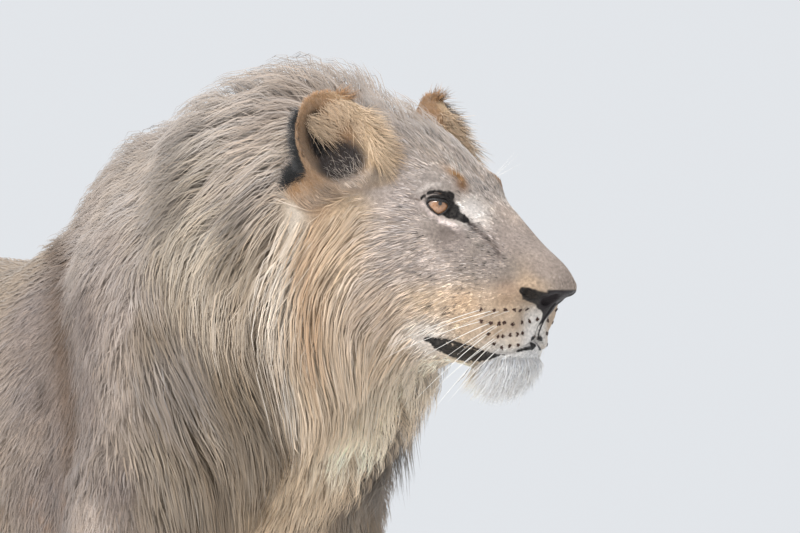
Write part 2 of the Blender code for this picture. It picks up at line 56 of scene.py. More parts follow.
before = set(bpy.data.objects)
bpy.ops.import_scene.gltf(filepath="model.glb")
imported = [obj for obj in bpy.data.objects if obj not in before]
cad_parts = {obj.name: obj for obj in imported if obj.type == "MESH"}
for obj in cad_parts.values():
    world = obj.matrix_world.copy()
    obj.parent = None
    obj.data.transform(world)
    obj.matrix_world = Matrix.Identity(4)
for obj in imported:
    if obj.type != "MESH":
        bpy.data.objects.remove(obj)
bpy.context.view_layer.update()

SIDES = {"left": 1, "right": -1}
EYES = ("eye_left", "eye_right")
CLAWS = sorted(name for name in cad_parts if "_claw_" in name)
FLESH = sorted(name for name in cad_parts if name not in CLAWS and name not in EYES)
EYE_SEAT = (-0.152, 0.052, 0.0945)  # middle of the left eyeball, in the head's frame


def middle(node):
    low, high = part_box(node)
    return (low + high) / 2


def corners_of(node):
    """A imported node's lowest and highest corners, as arrays."""
    return [np.array(corner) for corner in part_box(node)]


def head_frame():
    """The head's origin and its three axes as columns, from where the two eyeballs sit."""
    left, right = middle("eye_left"), middle("eye_right")
    across = (left - right).normalized()
    axes = np.array([across.cross(Vector((0, 0, 1))), across, (0, 0, 1)], float).T
    seat = np.array([EYE_SEAT[0], 0, EYE_SEAT[2]])
    return np.array((left + right) / 2, float) - axes @ seat, axes


HEAD_ORIGIN, HEAD_AXES = head_frame()


def to_head(points):
    return (np.asarray(points, float) - HEAD_ORIGIN) @ HEAD_AXES


def from_head(points):
    return np.asarray(points, float) @ HEAD_AXES.T + HEAD_ORIGIN


# ---- small sums on arrays ----
def mm(values):
    """Millimetres, as the tables give them, in metres."""
    return np.asarray(values, float) / 1000


def on_left(points):
    """The points, with those of the right side mirrored onto the left."""
    points = points.copy()
    points[:, 1] = abs(points[:, 1])
    return points


def nearest_of(points):
    """A tree that finds which of the points is nearest."""
    tree = KDTree(len(points))
    for k, point in enumerate(points):
        tree.insert(point, k)
    tree.balance()
    return tree


def ramp(low, high, x):
    """0 below low, 1 above high and smooth between; it falls where low is the larger."""
    t = np.clip((x - low) / (high - low), 0, 1)
    return t * t * (3 - 2 * t)


def unit(vectors):
    return vectors / np.maximum(np.linalg.norm(vectors, axis=-1, keepdims=True), 1e-12)


def linear(srgb):
    """A colour from 0 to 255 as the linear values that shaders use."""
    c = np.asarray(srgb, float) / 255
    return np.where(c <= 0.04045, c / 12.92, ((c + 0.055) / 1.055) ** 2.4)


def near_line(points, line):
    """Distance from each point to a line of straight stretches, and how far along it from 0 to 1."""
    line = np.asarray(line, float)
    best, along = np.full(len(points), np.inf), np.zeros(len(points))
    stretches = np.linalg.norm(np.diff(line, axis=0), axis=1)
    before = np.concatenate([[0], np.cumsum(stretches)]) / stretches.sum()
    for k, (start, end) in enumerate(zip(line, line[1:])):
        d = end - start
        t = np.clip((points - start) @ d / (d @ d), 0, 1)
        away = np.linalg.norm(points - start - t[:, None] * d, axis=1)
        closer = away < best
        best[closer] = away[closer]
        along[closer] = (before[k] + t * (before[k + 1] - before[k]))[closer]
    return best, along


# ---- meshes as arrays ----
def places(mesh):
    out = np.empty(len(mesh.vertices) * 3, np.float32)
    mesh.vertices.foreach_get("co", out)
    return out.reshape(-1, 3).astype(float)


def place_all(mesh, points):
    mesh.vertices.foreach_set("co", np.asarray(points, np.float32).ravel())
    mesh.update()


def outwards(mesh):
    out = np.empty(len(mesh.vertices) * 3, np.float32)
    mesh.vertex_normals.foreach_get("vector", out)
    return out.reshape(-1, 3).astype(float)


def edges_of(mesh):
    out = np.empty(len(mesh.edges) * 2, np.int32)
    mesh.edges.foreach_get("vertices", out)
    return out.reshape(-1, 2)


def averaged(values, edges, degree):
    """Each point's value as the mean of its neighbours'."""
    a, b = edges.T
    out = np.empty_like(values)
    for k in range(values.shape[1]):
        v = values[:, k]
        out[:, k] = np.bincount(a, v[b], len(v)) + np.bincount(b, v[a], len(v))
    return out / degree[:, None]


def relaxed(values, edges, share, times, back=0.0):
    """Evened out over the surface; back pushes out again after each pass, so the form keeps its size."""
    degree = np.maximum(np.bincount(edges.ravel(), minlength=len(values)), 1).astype(float)
    share = np.broadcast_to(np.asarray(share, float), len(values))[:, None]
    for _ in range(times):
        values = values + share * (averaged(values, edges, degree) - values)
        if back:
            values = values - share * back * (averaged(values, edges, degree) - values)
    return values


def evaluated_mesh(obj):
    graph = bpy.context.evaluated_depsgraph_get()
    return bpy.data.meshes.new_from_object(obj.evaluated_get(graph))


def with_modifier(obj, kind, **settings):
    """Applies one modifier to the object's mesh."""
    modifier = obj.modifiers.new(kind.title(), kind)
    for name, value in settings.items():
        setattr(modifier, name, value)
    old, obj.data = obj.data, evaluated_mesh(obj)
    obj.modifiers.clear()
    bpy.data.meshes.remove(old)
    return obj


def shown(name, mesh):
    obj = bpy.data.objects.new(name, mesh)
    bpy.context.scene.collection.objects.link(obj)
    return obj


# ---- the lie of the coat ----
# Each row is one place on the lion, in millimetres: where it is, which way the hair lies there, its
# length, the depth of the coat there and the name of its colour. Left side only; y = 0 is the midline.
HEAD_LIE = (
    # bridge, forehead and crown
    ((-8, 0, 18), (-1, 0, 1.2), 6, 1.5, "bridge"),
    ((-40, 0, 45), (-1, 0, 0.8), 8, 1.5, "bridge"),
    ((-80, 0, 80), (-1, 0, 0.8), 9, 2, "bridge"),
    ((-115, 0, 115), (-1, 0, 1), 11, 3, "forehead"),
    ((-150, 0, 152), (-1, 0, 0.8), 15, 4, "forehead"),
    ((-190, 0, 182), (-1, 0, 0.9), 30, 8, "forehead"),
    ((-225, 0, 205), (-1, 0, 1), 58, 18, "crest"),
    ((-270, 0, 235), (-1, 0, 0.7), 75, 30, "crest"),
    ((-230, 45, 195), (-1, 0.1, 0.5), 35, 10, "crest"),
    ((-180, 50, 165), (-1, 0.1, 0.4), 18, 5, "forehead"),
    # side of the muzzle
    ((-30, 22, 22), (-1, 0.3, 0.6), 6, 1.5, "bridge"),
    ((-70, 30, 55), (-1, 0.1, 0.5), 8, 1.5, "bridge"),
    ((-65, 42, 15), (-1, 0.25, 0.15), 7, 1.5, "muzzle"),
    ((-95, 48, 35), (-1, 0.25, 0.05), 9, 2, "muzzle"),
    ((-38, 34, 2), (-1, 0.6, 0.1), 5, 1, "pad"),
    ((-65, 47, -18), (-1, 0.3, -0.25), 6, 1.5, "pad"),
    ((-75, 50, -40), (-1, 0.2, -0.7), 7, 2, "pad"),
    ((-110, 58, -30), (-1, 0.3, -0.45), 10, 2.5, "pad"),
    ((-40, 14, -40), (-0.3, 0.7, -1), 6, 1.5, "white"),
    ((-45, 4, -52), (-0.3, 0.5, -1), 6, 1.5, "white"),
    ((-60, 32, -60), (-0.5, 0.4, -1), 7, 2, "white"),
    # round the eye and the cheek
    ((-118, 40, 80), (-1, 0.2, 0.2), 7, 1.5, "pale"),
    # painted shade under the eye, through the colour under_eye
    ((-125, 55, 60), (-1, 0.35, -0.1), 9, 2, "under_eye"),
    ((-128, 46, 118), (-1, 0.3, 0.9), 10, 2.5, "forehead"),
    ((-150, 75, 130), (-1, 0.4, 0.3), 12, 3, "forehead"),
    ((-175, 85, 95), (-1, 0.3, 0), 13, 3.5, "cheek"),
    ((-200, 100, 130), (-1, 0.3, 0.2), 18, 5, "cheek"),
    ((-145, 72, 30), (-1, 0.3, -0.2), 11, 3, "cheek"),
    ((-185, 98, 40), (-1, 0.3, -0.4), 18, 6, "cheek"),
    ((-150, 70, -20), (-1, 0.3, -0.5), 15, 4, "cheek_low"),
    ((-190, 95, -25), (-1, 0.2, -0.8), 35, 10, "cheek_low"),
    ((-160, 68, -62), (-1, 0.1, -0.8), 20, 6, "pale"),
    ((-185, 80, -75), (-0.6, 0.1, -1), 50, 15, "ruff"),
    # jaw and chin
    ((-115, 48, -85), (-0.9, 0, -0.7), 16, 5, "ruff"),
    ((-120, 12, -97), (-1, 0, -0.6), 20, 7, "beard"),
    ((-75, 26, -85), (-0.4, 0.1, -1), 18, 6, "chin"),
    ((-58, 0, -75), (-0.1, 0, -1), 17, 5, "chin"),
    ((-85, 0, -106), (-0.7, 0, -1), 24, 8, "chin"),
    ((-165, 0, -112), (-0.5, 0, -1), 55, 25, "beard"),
    ((-205, 0, -145), (-0.3, 0, -1), 80, 40, "beard"),
    ((-250, 0, -200), (-0.1, 0, -1), 100, 50, "beard"),
    # ruff, and behind the ears
    ((-235, 116, 95), (-0.7, 0.1, -0.9), 45, 12, "ruff"),
    ((-238, 128, 45), (-0.6, 0.05, -1), 70, 20, "ruff"),
    ((-240, 130, -20), (-0.1, 0, -1), 90, 25, "ruff"),
    ((-225, 110, -80), (0.4, 0, -1), 85, 28, "ruff"),
    ((-210, 65, -130), (0.4, -0.1, -1), 80, 30, "beard"),
    ((-295, 122, -30), (-0.1, 0, -1), 100, 28, "ruff_edge"),
    ((-300, 100, -110), (0.4, 0, -1), 100, 28, "ruff"),
    ((-265, 85, -150), (0.5, 0, -1), 95, 29, "ruff"),
    ((-290, 123, 40), (-0.5, 0, -1), 90, 26, "ruff_edge"),
    ((-285, 128, 90), (-0.6, 0.1, -0.9), 75, 23, "ruff_edge"),
    ((-300, 105, 160), (-1, 0.1, -0.4), 70, 22, "neck"),
    ((-320, 50, 230), (-1, 0.15, 0.1), 70, 28, "crest"),
)
BODY_LIE = (
    # crest and back
    ((540, 0, 1190), (-1, 0, 0.25), 75, 35, "crest"),
    ((450, 0, 1175), (-1, 0, 0.2), 75, 35, "crest"),
    ((350, 0, 1145), (-1, 0, 0.1), 70, 32, "crest"),
    ((250, 0, 1125), (-1, 0, 0.05), 60, 28, "crest"),
    ((170, 0, 1110), (-1, 0, -0.2), 50, 22, "crest"),
    ((100, 0, 1060), (-1, 0, -0.3), 28, 10, "back"),
    ((0, 0, 990), (-1, 0, -0.1), 18, 7, "back"),
    ((-200, 0, 970), (-1, 0, 0), 18, 6, "back"),
    ((-450, 0, 985), (-1, 0, -0.1), 18, 6, "back"),
    # neck: back and down from the crest, then forwards to the chest
    ((483, 68, 1119), (-1, 0.2, -0.26), 70, 26, "neck_top"),
    ((560, 70, 1119), (-1, 0.2, -0.3), 75, 26, "neck_top"),
    ((611, 57, 1119), (-1, 0.2, -0.35), 70, 22, "crest"),
    ((400, 90, 1085), (-1, 0.1, -0.35), 60, 22, "neck_top"),
    ((449, 93, 1074), (-1, 0, -0.4), 70, 24, "neck_grey"),
    ((527, 96, 1074), (-1, 0, -0.5), 80, 26, "neck"),
    ((594, 92, 1074), (-1, 0, -0.7), 80, 26, "neck_top"),
    ((661, 88, 1074), (-0.8, 0, -0.9), 70, 22, "neck_top"),
    ((290, 82, 1060), (-1, 0, -0.4), 40, 16, "neck_top"),
    ((383, 97, 1030), (-0.8, 0, -0.6), 55, 20, "neck_top"),
    ((480, 112, 1030), (-1, 0, -0.55), 80, 26, "neck_grey"),
    ((548, 109, 1030), (-0.9, 0, -0.6), 90, 27, "neck"),
    ((613, 104, 1030), (-0.7, 0, -0.8), 90, 27, "neck_grey"),
    ((364, 131, 986), (-0.4, 0, -0.9), 34, 13, "shoulder_light"),
    ((425, 124, 986), (-0.6, 0, -0.9), 60, 22, "neck_top"),
    ((495, 122, 986), (-0.5, 0, -1), 90, 27, "neck"),
    ((561, 117, 986), (-0.55, 0, -1), 100, 28, "neck"),
    ((625, 111, 986), (-0.6, 0, -1), 100, 28, "mane_mid"),
    ((396, 151, 941), (-0.2, 0, -1), 32, 12, "shoulder_light"),
    ((441, 133, 941), (0.45, 0, -1), 70, 22, "neck_top"),
    ((504, 127, 941), (0.1, 0, -1), 100, 27, "mane_mid"),
    ((566, 120, 941), (-0.2, 0, -1), 110, 28, "neck"),
    ((628, 113, 941), (-0.4, 0, -1), 110, 28, "ruff_edge"),
    ((411, 161, 897), (0.1, 0, -1), 28, 11, "shoulder_light"),
    ((457, 144, 897), (0.7, 0, -1), 70, 21, "mane_mid"),
    ((507, 129, 897), (0.6, 0, -1), 110, 27, "mane_grey"),
    ((566, 120, 897), (0.2, 0, -1), 115, 28, "mane_mid"),
    ((626, 111, 897), (0, 0, -1), 115, 28, "mane_mid"),
    ((462, 147, 852), (0.8, 0, -1), 75, 21, "mane_grey"),
    ((507, 129, 852), (0.9, 0, -1), 115, 27, "mane_grey"),
    ((561, 117, 852), (0.6, 0, -1), 120, 28, "mane_mid"),
    ((617, 106, 852), (0.5, 0, -1), 120, 28, "mane_mid"),
    ((469, 151, 808), (0.8, 0, -1), 70, 20, "mane_grey"),
    ((503, 127, 808), (0.9, 0, -1), 115, 27, "mane_low"),
    ((550, 110, 808), (0.8, 0, -1), 120, 28, "mane_low"),
    ((601, 96, 808), (0.7, 0, -1), 120, 28, "mane_dark"),
    ((467, 150, 763), (0.7, 0, -1), 65, 19, "mane_low"),
    ((495, 121, 763), (0.9, 0, -1), 110, 26, "mane_dark"),
    ((533, 100, 763), (0.8, 0, -1), 115, 28, "mane_dark"),
    ((579, 82, 763), (0.6, 0, -1), 120, 28, "mane_dark"),
    ((467, 150, 690), (0.5, 0, -1), 60, 17, "mane_low"),
    ((500, 85, 690), (0.4, 0, -1), 95, 24, "mane_dark"),
    ((647, 79, 808), (0.4, 0, -1), 110, 28, "mane_light"),
    ((618, 61, 763), (0, 0, -1), 100, 29, "mane_light"),
    ((580, 40, 719), (-0.3, 0, -1), 85, 28, "mane_light"),
    ((520, 30, 660), (-0.5, 0, -1), 65, 26, "mane_light"),
    ((640, 0, 770), (-0.45, 0, -1), 75, 30, "beard"),
    ((600, 0, 700), (-0.75, 0, -1), 55, 28, "mane_light"),
    ((530, 0, 590), (-0.7, 0, -1), 70, 24, "mane_low"),
    # shoulder
    ((343, 164, 897), (-0.2, 0, -1), 18, 9, "shoulder"),
    ((434, 175, 808), (0.1, 0, -1), 19, 9, "shoulder_light"),
    ((364, 177, 808), (-0.1, 0, -1), 15, 8, "shoulder"),
    ((441, 180, 700), (0.1, 0, -1), 18, 9, "shoulder"),
    ((276, 168, 820), (-0.3, 0, -1), 14, 7, "shoulder"),
    ((200, 150, 900), (-0.7, 0, -0.7), 14, 6, "shoulder"),
    ((220, 100, 1020), (-1, 0, -0.4), 26, 10, "shoulder_light"),
    ((390, 195, 660), (-0.1, 0, -1), 16, 7, "shoulder_light"),
    ((290, 180, 680), (-0.3, 0, -1), 20, 6, "shoulder"),
    # barrel and belly
    ((50, 200, 800), (-1, 0, -0.4), 18, 6, "flank"),
    ((50, 100, 960), (-1, 0.1, -0.3), 18, 6, "back"),
    ((50, 180, 640), (-1, 0, -0.25), 20, 7, "flank"),
    ((100, 0, 550), (-1, 0, 0), 32, 10, "belly"),
    ((-100, 0, 560), (-1, 0, 0), 36, 12, "belly"),
    ((-300, 0, 580), (-1, 0, -0.1), 34, 11, "belly"),
    ((0, 120, 580), (-1, 0, -0.1), 26, 9, "belly"),
    ((-180, 190, 780), (-1, 0, -0.45), 18, 6, "flank"),
    ((-250, 160, 640), (-0.8, 0, -0.7), 26, 8, "flank"),
    # rump and thighs
    ((-420, 150, 900), (-0.8, 0, -0.6), 17, 6, "flank"),
    ((-450, 200, 740), (-0.4, 0, -1), 16, 6, "flank"),
    ((-400, 190, 600), (-0.2, 0, -1), 16, 5, "leg"),
    ((-600, 120, 720), (-0.1, 0, -1), 22, 7, "leg"),
    ((-620, 50, 860), (-0.1, 0.1, -1), 22, 6, "flank"),
    ((-450, 50, 600), (-0.3, 0, -1), 22, 7, "belly"),
    ((360, 60, 560), (-0.2, 0, -1), 22, 7, "belly"),
    ((270, 150, 560), (-0.5, 0, -1), 24, 6, "leg"),
)
LEGS = ("fore", "hind")
LEG_HAIR = {  # length and depth in metres, colour
    "shank": (0.014, 0.0045, "leg"),
    "foot": (0.011, 0.0035, "leg"),
    "paw": (0.010, 0.0030, "paw"),
}
TAIL_LIE = (  # how far along and up the tail's box, lie, length and depth in metres
    (0.95, 0.92, (-1, 0, -0.4), 0.018, 0.005),
    (0.60, 0.72, (-0.7, 0, -1), 0.018, 0.005),
    (0.35, 0.40, (-0.25, 0, -1), 0.016, 0.004),
    (0.25, 0.10, (-0.1, 0, -1), 0.018, 0.005),
)
# how far up the tail tuft's box, length and depth in metres
TUFT_LIE = ((0.95, 0.035, 0.008), (0.6, 0.07, 0.022), (0.2, 0.07, 0.026))
COLOURS = {
    "bridge": (160, 145, 135),
    "forehead": (158, 146, 137),
    "crest": (154, 139, 127),
    "muzzle": (132, 121, 112),
    "pad": (184, 160, 136),
    "white": (232, 226, 220),
    "pale": (214, 203, 194),
    # under_eye is darker for the shade under the eye: painted shade
    "under_eye": (124, 112, 106),
    "cheek": (172, 158, 149),
    "cheek_low": (182, 162, 144),
    "chin": (222, 219, 216),
    "ruff": (196, 172, 146),
    "beard": (255, 238, 212),
    "neck": (188, 173, 155),
    "neck_top": (174, 161, 150),
    "neck_grey": (134, 123, 113),
    "mane_mid": (132, 116, 98),
    "mane_grey": (142, 130, 120),
    "mane_dark": (130, 115, 99),
    "ruff_edge": (184, 166, 146),
    "shoulder_light": (164, 150, 140),
    "mane": (158, 143, 128),
    "mane_light": (214, 188, 158),
    "mane_low": (148, 133, 117),
    "shoulder": (132, 119, 111),
    "back": (150, 135, 120),
    "flank": (172, 156, 140),
    "belly": (204, 193, 180),
    "leg": (180, 163, 144),
    "paw": (186, 170, 152),
    "tail": (168, 150, 130),
    "tuft": (74, 58, 46),
}


def both_sides(where, lie):
    """A table row's place in metres and its lie, once for each side that it holds for."""
    for side in (1, -1) if where[1] else (1,):
        flip = np.array((1, side, 1))
        yield mm(where) * flip, lie * flip


def lie_rows():
    """Every place of both tables, the legs and the tail, on both sides, as arrays."""
    rows = []
    for where, lie, length, depth, colour in HEAD_LIE:
        for at, way in both_sides(where, lie):
            rows.append((from_head(at), HEAD_AXES @ way, mm(length), mm(depth), colour))
    for where, lie, length, depth, colour in BODY_LIE:
        rows += [(at, way, mm(length), mm(depth), colour) for at, way in both_sides(where, lie)]
    for side in SIDES:
        for leg in LEGS:
            for part, (length, depth, colour) in LEG_HAIR.items():
                low, high = corners_of(f"{leg}_{side}_{part}")
                for x in (0.25, 0.75):
                    lie = (0.9, 0, -0.7) if part == "paw" and x > 0.5 else (-0.12, 0, -1)
                    rows.append((low + (high - low) * (x, 0.5, 0.5), lie, length, depth, colour))
    low, high = corners_of("tail")
    for x, z, lie, length, depth in TAIL_LIE:
        rows.append((low + (high - low) * (x, 0.5, z), lie, length, depth, "tail"))
    low, high = corners_of("tail_tuft")
    for z, length, depth in TUFT_LIE:
        rows.append((low + (high - low) * (0.5, 0.5, z), (-0.1, 0, -1), length, depth, "tuft"))
    where, lie, length, depth, colour = zip(*rows)
    paint = np.array([linear(COLOURS[name]) for name in colour])
    return tuple(np.array(x, float) for x in (where, lie, length, depth)) + (paint,)


def coat_at(points):
    """Lie, length, depth and colour of the coat at each point, blended from the places near it."""
    where, lie, length, depth, paint = lie_rows()
    lie = unit(lie)
    facts = np.column_stack([lie, length, depth, paint])
    out = np.empty((len(points), facts.shape[1]))
    for k in range(0, len(points), 20000):
        part = points[k : k + 20000]
        gap = ((part[:, None] - where[None]) ** 2).sum(2)
        weight = 1 / (gap + 0.006**2) ** 2
        out[k : k + 20000] = weight @ facts / weight.sum(1)[:, None]
    return SimpleNamespace(lie=out[:, :3], length=out[:, 3], depth=out[:, 4], paint=out[:, 5:])


# ---- the skin ----
def joined_flesh():
    """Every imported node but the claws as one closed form; the eyeballs are in it until the lids are cut."""
    bm = bmesh.new()
    for name in (*FLESH, *EYES):
        part = bmesh.new()
        part.from_mesh(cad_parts[name].data)
        bmesh.ops.remove_doubles(part, verts=part.verts, dist=0.00001)
        bmesh.ops.recalc_face_normals(part, faces=part.faces)
        part.normal_update()
        for vert, away in [(v, v.normal.copy()) for v in part.verts]:
            vert.co += away * (0.0024 if name.startswith("ear_") else 0.0012)
        mesh = bpy.data.meshes.new("part")
        part.to_mesh(mesh)
        part.free()
        bm.from_mesh(mesh)
        bpy.data.meshes.remove(mesh)
    mesh = bpy.data.meshes.new("lion_skin")
    bm.to_mesh(mesh)
    bm.free()
    return shown("lion_skin", mesh)


def near_ear(points):
    """1 on the ears and 0 away from them."""
    out = np.zeros(len(points))
    for side in SIDES:
        low, high = corners_of(f"ear_{side}")
        gap = np.linalg.norm(np.maximum(np.maximum(low - points, points - high), 0), axis=1)
        out = np.maximum(out, ramp(0.035, 0.002, gap))
    return out


def evened(obj, times):
    """Takes the solids' facets out and keeps the form; the thin ears change least."""
    points = places(obj.data)
    share = 0.55 * (1 - 0.4 * near_ear(points))
    place_all(obj.data, relaxed(points, edges_of(obj.data), share, times, back=0.98))


def sunk(obj, steps=10):
    """Draws the skin in by the depth of the coat, a little at a time, and the chest's front further."""
    mesh = obj.data
    edges = edges_of(mesh)
    depth = np.minimum(coat_at(places(mesh)).depth, 0.030)
    depth *= 1 - 0.6 * near_ear(places(mesh))
    depth = relaxed(depth[:, None], edges, 0.6, 12)[:, 0]
    for _ in range(steps):
        points = places(mesh) - outwards(mesh) * (depth / steps)[:, None]
        place_all(mesh, relaxed(points, edges, np.clip(depth / 0.022, 0, 0.7), 3))
    points = places(mesh)
    x, z = points[:, 0], points[:, 2]
    points[:, 0] -= 0.030 * ramp(0.88, 0.72, z) * ramp(0.48, 0.56, z) * ramp(0.38, 0.54, x)
    points[:, 1] *= 1 - 0.09 * ramp(0.84, 0.74, z) * ramp(0.50, 0.58, z) * ramp(0.38, 0.48, x)
    place_all(mesh, points)


def refined(obj, inside):
    """One more subdivision where inside(points) is true."""
    bm = bmesh.new()
    bm.from_mesh(obj.data)
    chosen = inside(np.array([v.co for v in bm.verts]))
    edges = [e for e in bm.edges if chosen[e.verts[0].index] and chosen[e.verts[1].index]]
    bmesh.ops.subdivide_edges(bm, edges=edges, cuts=1, use_grid_fill=True, smooth=0)
    bm.to_mesh(obj.data)
    bm.free()
    obj.data.update()
    points = places(obj.data)
    share = 0.5 * inside(points) * (1 - 0.8 * near_ear(points))
    place_all(obj.data, relaxed(points, edges_of(obj.data), share, 3, back=0.9))


def thinned_body(obj, faces):
    """Fewer faces away from the head, down to so many in all."""
    points = to_head(places(obj.data))
    weight = ramp(-0.33, -0.42, points[:, 0]) + ramp(-0.2, -0.27, points[:, 2])
    weight = np.clip(weight + ramp(0.16, 0.21, abs(points[:, 1])), 0, 1)
    group = obj.vertex_groups.new(name="thin")
    for value in (0.5, 1.0):
        group.add(np.flatnonzero(weight >= value * 0.9).tolist(), value, "REPLACE")
    count = sum(len(p.vertices) - 2 for p in obj.data.polygons)
    ratio = min(1.0, faces / count)
    with_modifier(obj, "DECIMATE", ratio=ratio, vertex_group="thin", vertex_group_factor=1.0)
    obj.vertex_groups.clear()


FACE_FRONT = -0.215  # x in the head's frame, where the fine mesh of the face ends


def on_face(points):
    head = to_head(points)
    return (head[:, 0] > FACE_FRONT) & (head[:, 2] > -0.115)


def on_features(points):
    """Round the eyes, the nose and the lips."""
    head = to_head(points)
    eyes = np.linalg.norm(on_left(head) - (-0.138, 0.060, 0.092), axis=1) < 0.036
    nose = (head[:, 0] > -0.056) & (head[:, 2] > -0.055) & (head[:, 2] < 0.016)
    lips = (head[:, 0] > -0.160) & (head[:, 2] > -0.080) & (head[:, 2] < -0.048)
    return eyes | nose | lips


# ---- the face ----
# In the head's frame, left side; every row is also made on the right. The tables are in millimetres.
GAZE = (0.750, 0.655, 0.09)  # the way the left eye looks
LID_AXIS = (0.766, 0.643, 0.0)  # the way the left eye's opening faces
LID_MIDDLE = (-0.0022, -0.0004)  # middle of the opening, towards the nose and up from the ball's middle
LID_TILT = math.radians(-9)  # the inner corner is the lower
LID_HALF = (0.0124, 0.0060, 0.0104)  # half its length, then its height above and below
LID_BOW = (2.8, 1.30)  # how square the opening is above and below
LID_SKEW = 0.22  # how far its lowest point lies towards the nose
RIM_POINTS = 56  # points round the opening
CLEAR_FRONT = (0.07, 0.60)  # how far the eyeball's front stands out and how wide it is, as shares of its radius
SWELLS = (  # middle, radii, height: forms that stand out or lie in
    ((-62, 50, -30), (20, 16, 18), 4),  # whisker pad
    ((-88, 52, -48), (22, 14, 12), 4.5),
    ((-52, 26, -46), (12, 16, 12), 4),
    ((-112, 52, -74), (26, 14, 8), -5),  # under the lip
    ((-62, 14, -84), (18, 18, 12), 4),  # chin
    ((-134, 46, 120), (20, 14, 9), 4),  # brow
    ((-160, 66, 122), (20, 16, 10), 2.5),
    ((-150, 72, 66), (26, 16, 10), 2),  # under the eye
    ((-24, 31, 6), (12, 9, 7), 3),  # wing of the nose
    ((-16, 16.5, -12), (7.5, 6.2, 7), -12),  # nostril
    ((-98, 50, 20), (22, 14, 18), -2),
    ((-30, 0, 30), (30, 16, 20), 1.2),
    ((-4, 10, -26), (16, 20, 13), -6),  # under the tip of the nose
    ((-18, 8, -42), (16, 20, 13), -3.5),
    ((-30, 30, -30), (18, 16, 18), -11),
)
FOLDS = (  # line, half its width, depth
    (((-46, 0, -56), (-50, 14, -62), (-57, 25, -67), (-70, 34, -69.5),
      (-85, 41, -69), (-108, 50, -62), (-132, 54, -58), (-156, 60, -56.5)),
     3, 7.5),  # mouth
    (((-12, 12, -13), (-20, 25, -11), (-30, 38, -6), (-42, 47, -1)), 3.6, 6.5),  # nostril slit
    (((-16, 0, -18), (-30, 0, -36), (-44, 0, -54)), 2.2, 4),  # lip cleft
    (((-116, 47, 82), (-96, 46, 64), (-76, 42, 48), (-66, 47, 28)), 6, 2.2),
    (((-110, 0, 112), (-150, 0, 155), (-190, 0, 185)), 6, 2.2),
    (((-160, 78, 104), (-146, 66, 112), (-130, 54, 106), (-120, 46, 92)), 2.6, 2.2),
    (((-156, 72, 82), (-140, 66, 74), (-124, 58, 68)), 3, 1.4),
    (((-157, 62, -58), (-172, 72, -50), (-186, 84, -30)), 6, 3),
)
SHOULDER_FOLD = ((215, 150, 875), (226, 159, 841), (261, 176, 774), (286, 181, 697), (290, 180, 630))


TRUNK_GROOVES = (  # left side: line, half its width, depth
    (((-310, 170, 840), (-272, 195, 740), (-285, 185, 640), (-320, 170, 560)), 20, 6),  # before the thigh
    (((-170, 195, 860), (-200, 200, 800)), 45, 5),  # flank
    (((-520, 180, 880), (-480, 200, 740), (-440, 180, 620)), 15, 3.5),  # thigh
    (((-400, 150, 960), (-460, 170, 900), (-520, 150, 860)), 16, 3),  # hip
    (((150, 110, 1030), (190, 150, 950), (215, 160, 875)), 16, 4),  # behind the shoulder blade
    *((((x, 200, 860), (x - 45, 205, 700)), 10, 1.6) for x in (-20, 30, 80, 130)),  # ribs
)
# From the back of the leg's paw: forwards, out or in from its middle, up; then half the width, depth
LEG_GROOVES = (
    ("hind", ((0, 34, 330), (60, 36, 390), (130, 40, 460)), 9, 6),  # before the tendon
    ("hind", ((30, 26, 120), (0, 28, 200), (-5, 30, 290)), 8, 3.5),
    ("fore", ((0, 34, 330), (-15, 40, 420), (-40, 46, 520)), 11, 4.5),  # forearm
    ("fore", ((20, 32, 150), (10, 34, 230)), 9, 3),
)


def leg_grooves():
    """Every leg's grooves, in the world's frame."""
    made = []
    for which, line, width, depth in LEG_GROOVES:
        for side in SIDES:
            low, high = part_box(f"{which}_{side}_paw")
            for out in (1, -1):
                placed = [(low[0] + x, (low[1] + high[1]) / 2 + out * y, z) for x, y, z in mm(line)]
                made.append((placed, mm(width), mm(depth)))
    return made


def eye_frame(side, axis=LID_AXIS, tilt=LID_TILT):
    """Middle of the eyeball, and rows for towards the nose, up and out of the opening, in the head's frame."""
    flip = np.array((1, SIDES[side], 1))
    out = unit(np.array(axis))
    inner = unit(np.cross(out, (0, 0, 1)))
    up = np.cross(inner, out)
    c, s = math.cos(tilt), math.sin(tilt)
    return np.array(EYE_SEAT) * flip, np.array((inner * c + up * s, up * c - inner * s, out)) * flip


def lid_size():
    low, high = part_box("eye_left")
    return (high[2] - low[2]) / 2


def lid_shift():
    """The middle of the opening on the tilted axes of the eye's frame."""
    c, s = math.cos(LID_TILT), math.sin(LID_TILT)
    return np.array([[c, s], [-s, c]]) @ np.array(LID_MIDDLE)


def in_lids(local, long=0.0, above=0.0, below=0.0):
    """Below 1 inside the opening of the lids, made that much longer and higher; local is in the eye's frame."""
    shift = lid_shift()
    a, b = local[:, 0] - shift[0], local[:, 1] - shift[1]
    a = a - LID_SKEW * np.maximum(-b, 0)
    upper, lower = (
        ((abs(a) / (LID_HALF[0] + long)) ** bow + (abs(b) / half) ** bow) ** (1 / bow)
        for bow, half in zip(LID_BOW, (LID_HALF[1] + above, LID_HALF[2] + below))
    )
    return np.where(b > 0, upper, lower)


def lid_rim(side, count, radius):
    """Points round the opening on a ball of that radius, in the head's frame."""
    centre, rows = eye_frame(side)
    shift = lid_shift()
    t = np.linspace(0, 2 * math.pi, count, endpoint=False)
    c, s = np.cos(t), np.sin(t)
    half = np.where(s > 0, LID_HALF[1], LID_HALF[2])
    bow = np.where(s > 0, LID_BOW[0], LID_BOW[1])
    b = half * np.sign(s) * abs(s) ** (2 / bow)
    a = shift[0] + LID_HALF[0] * np.sign(c) * abs(c) ** (2 / bow) + LID_SKEW * np.maximum(-b, 0)
    b = shift[1] + b
    out = np.sqrt(np.maximum(radius**2 - a**2 - b**2, 1e-8))
    return centre + np.column_stack([a, b, out]) @ rows


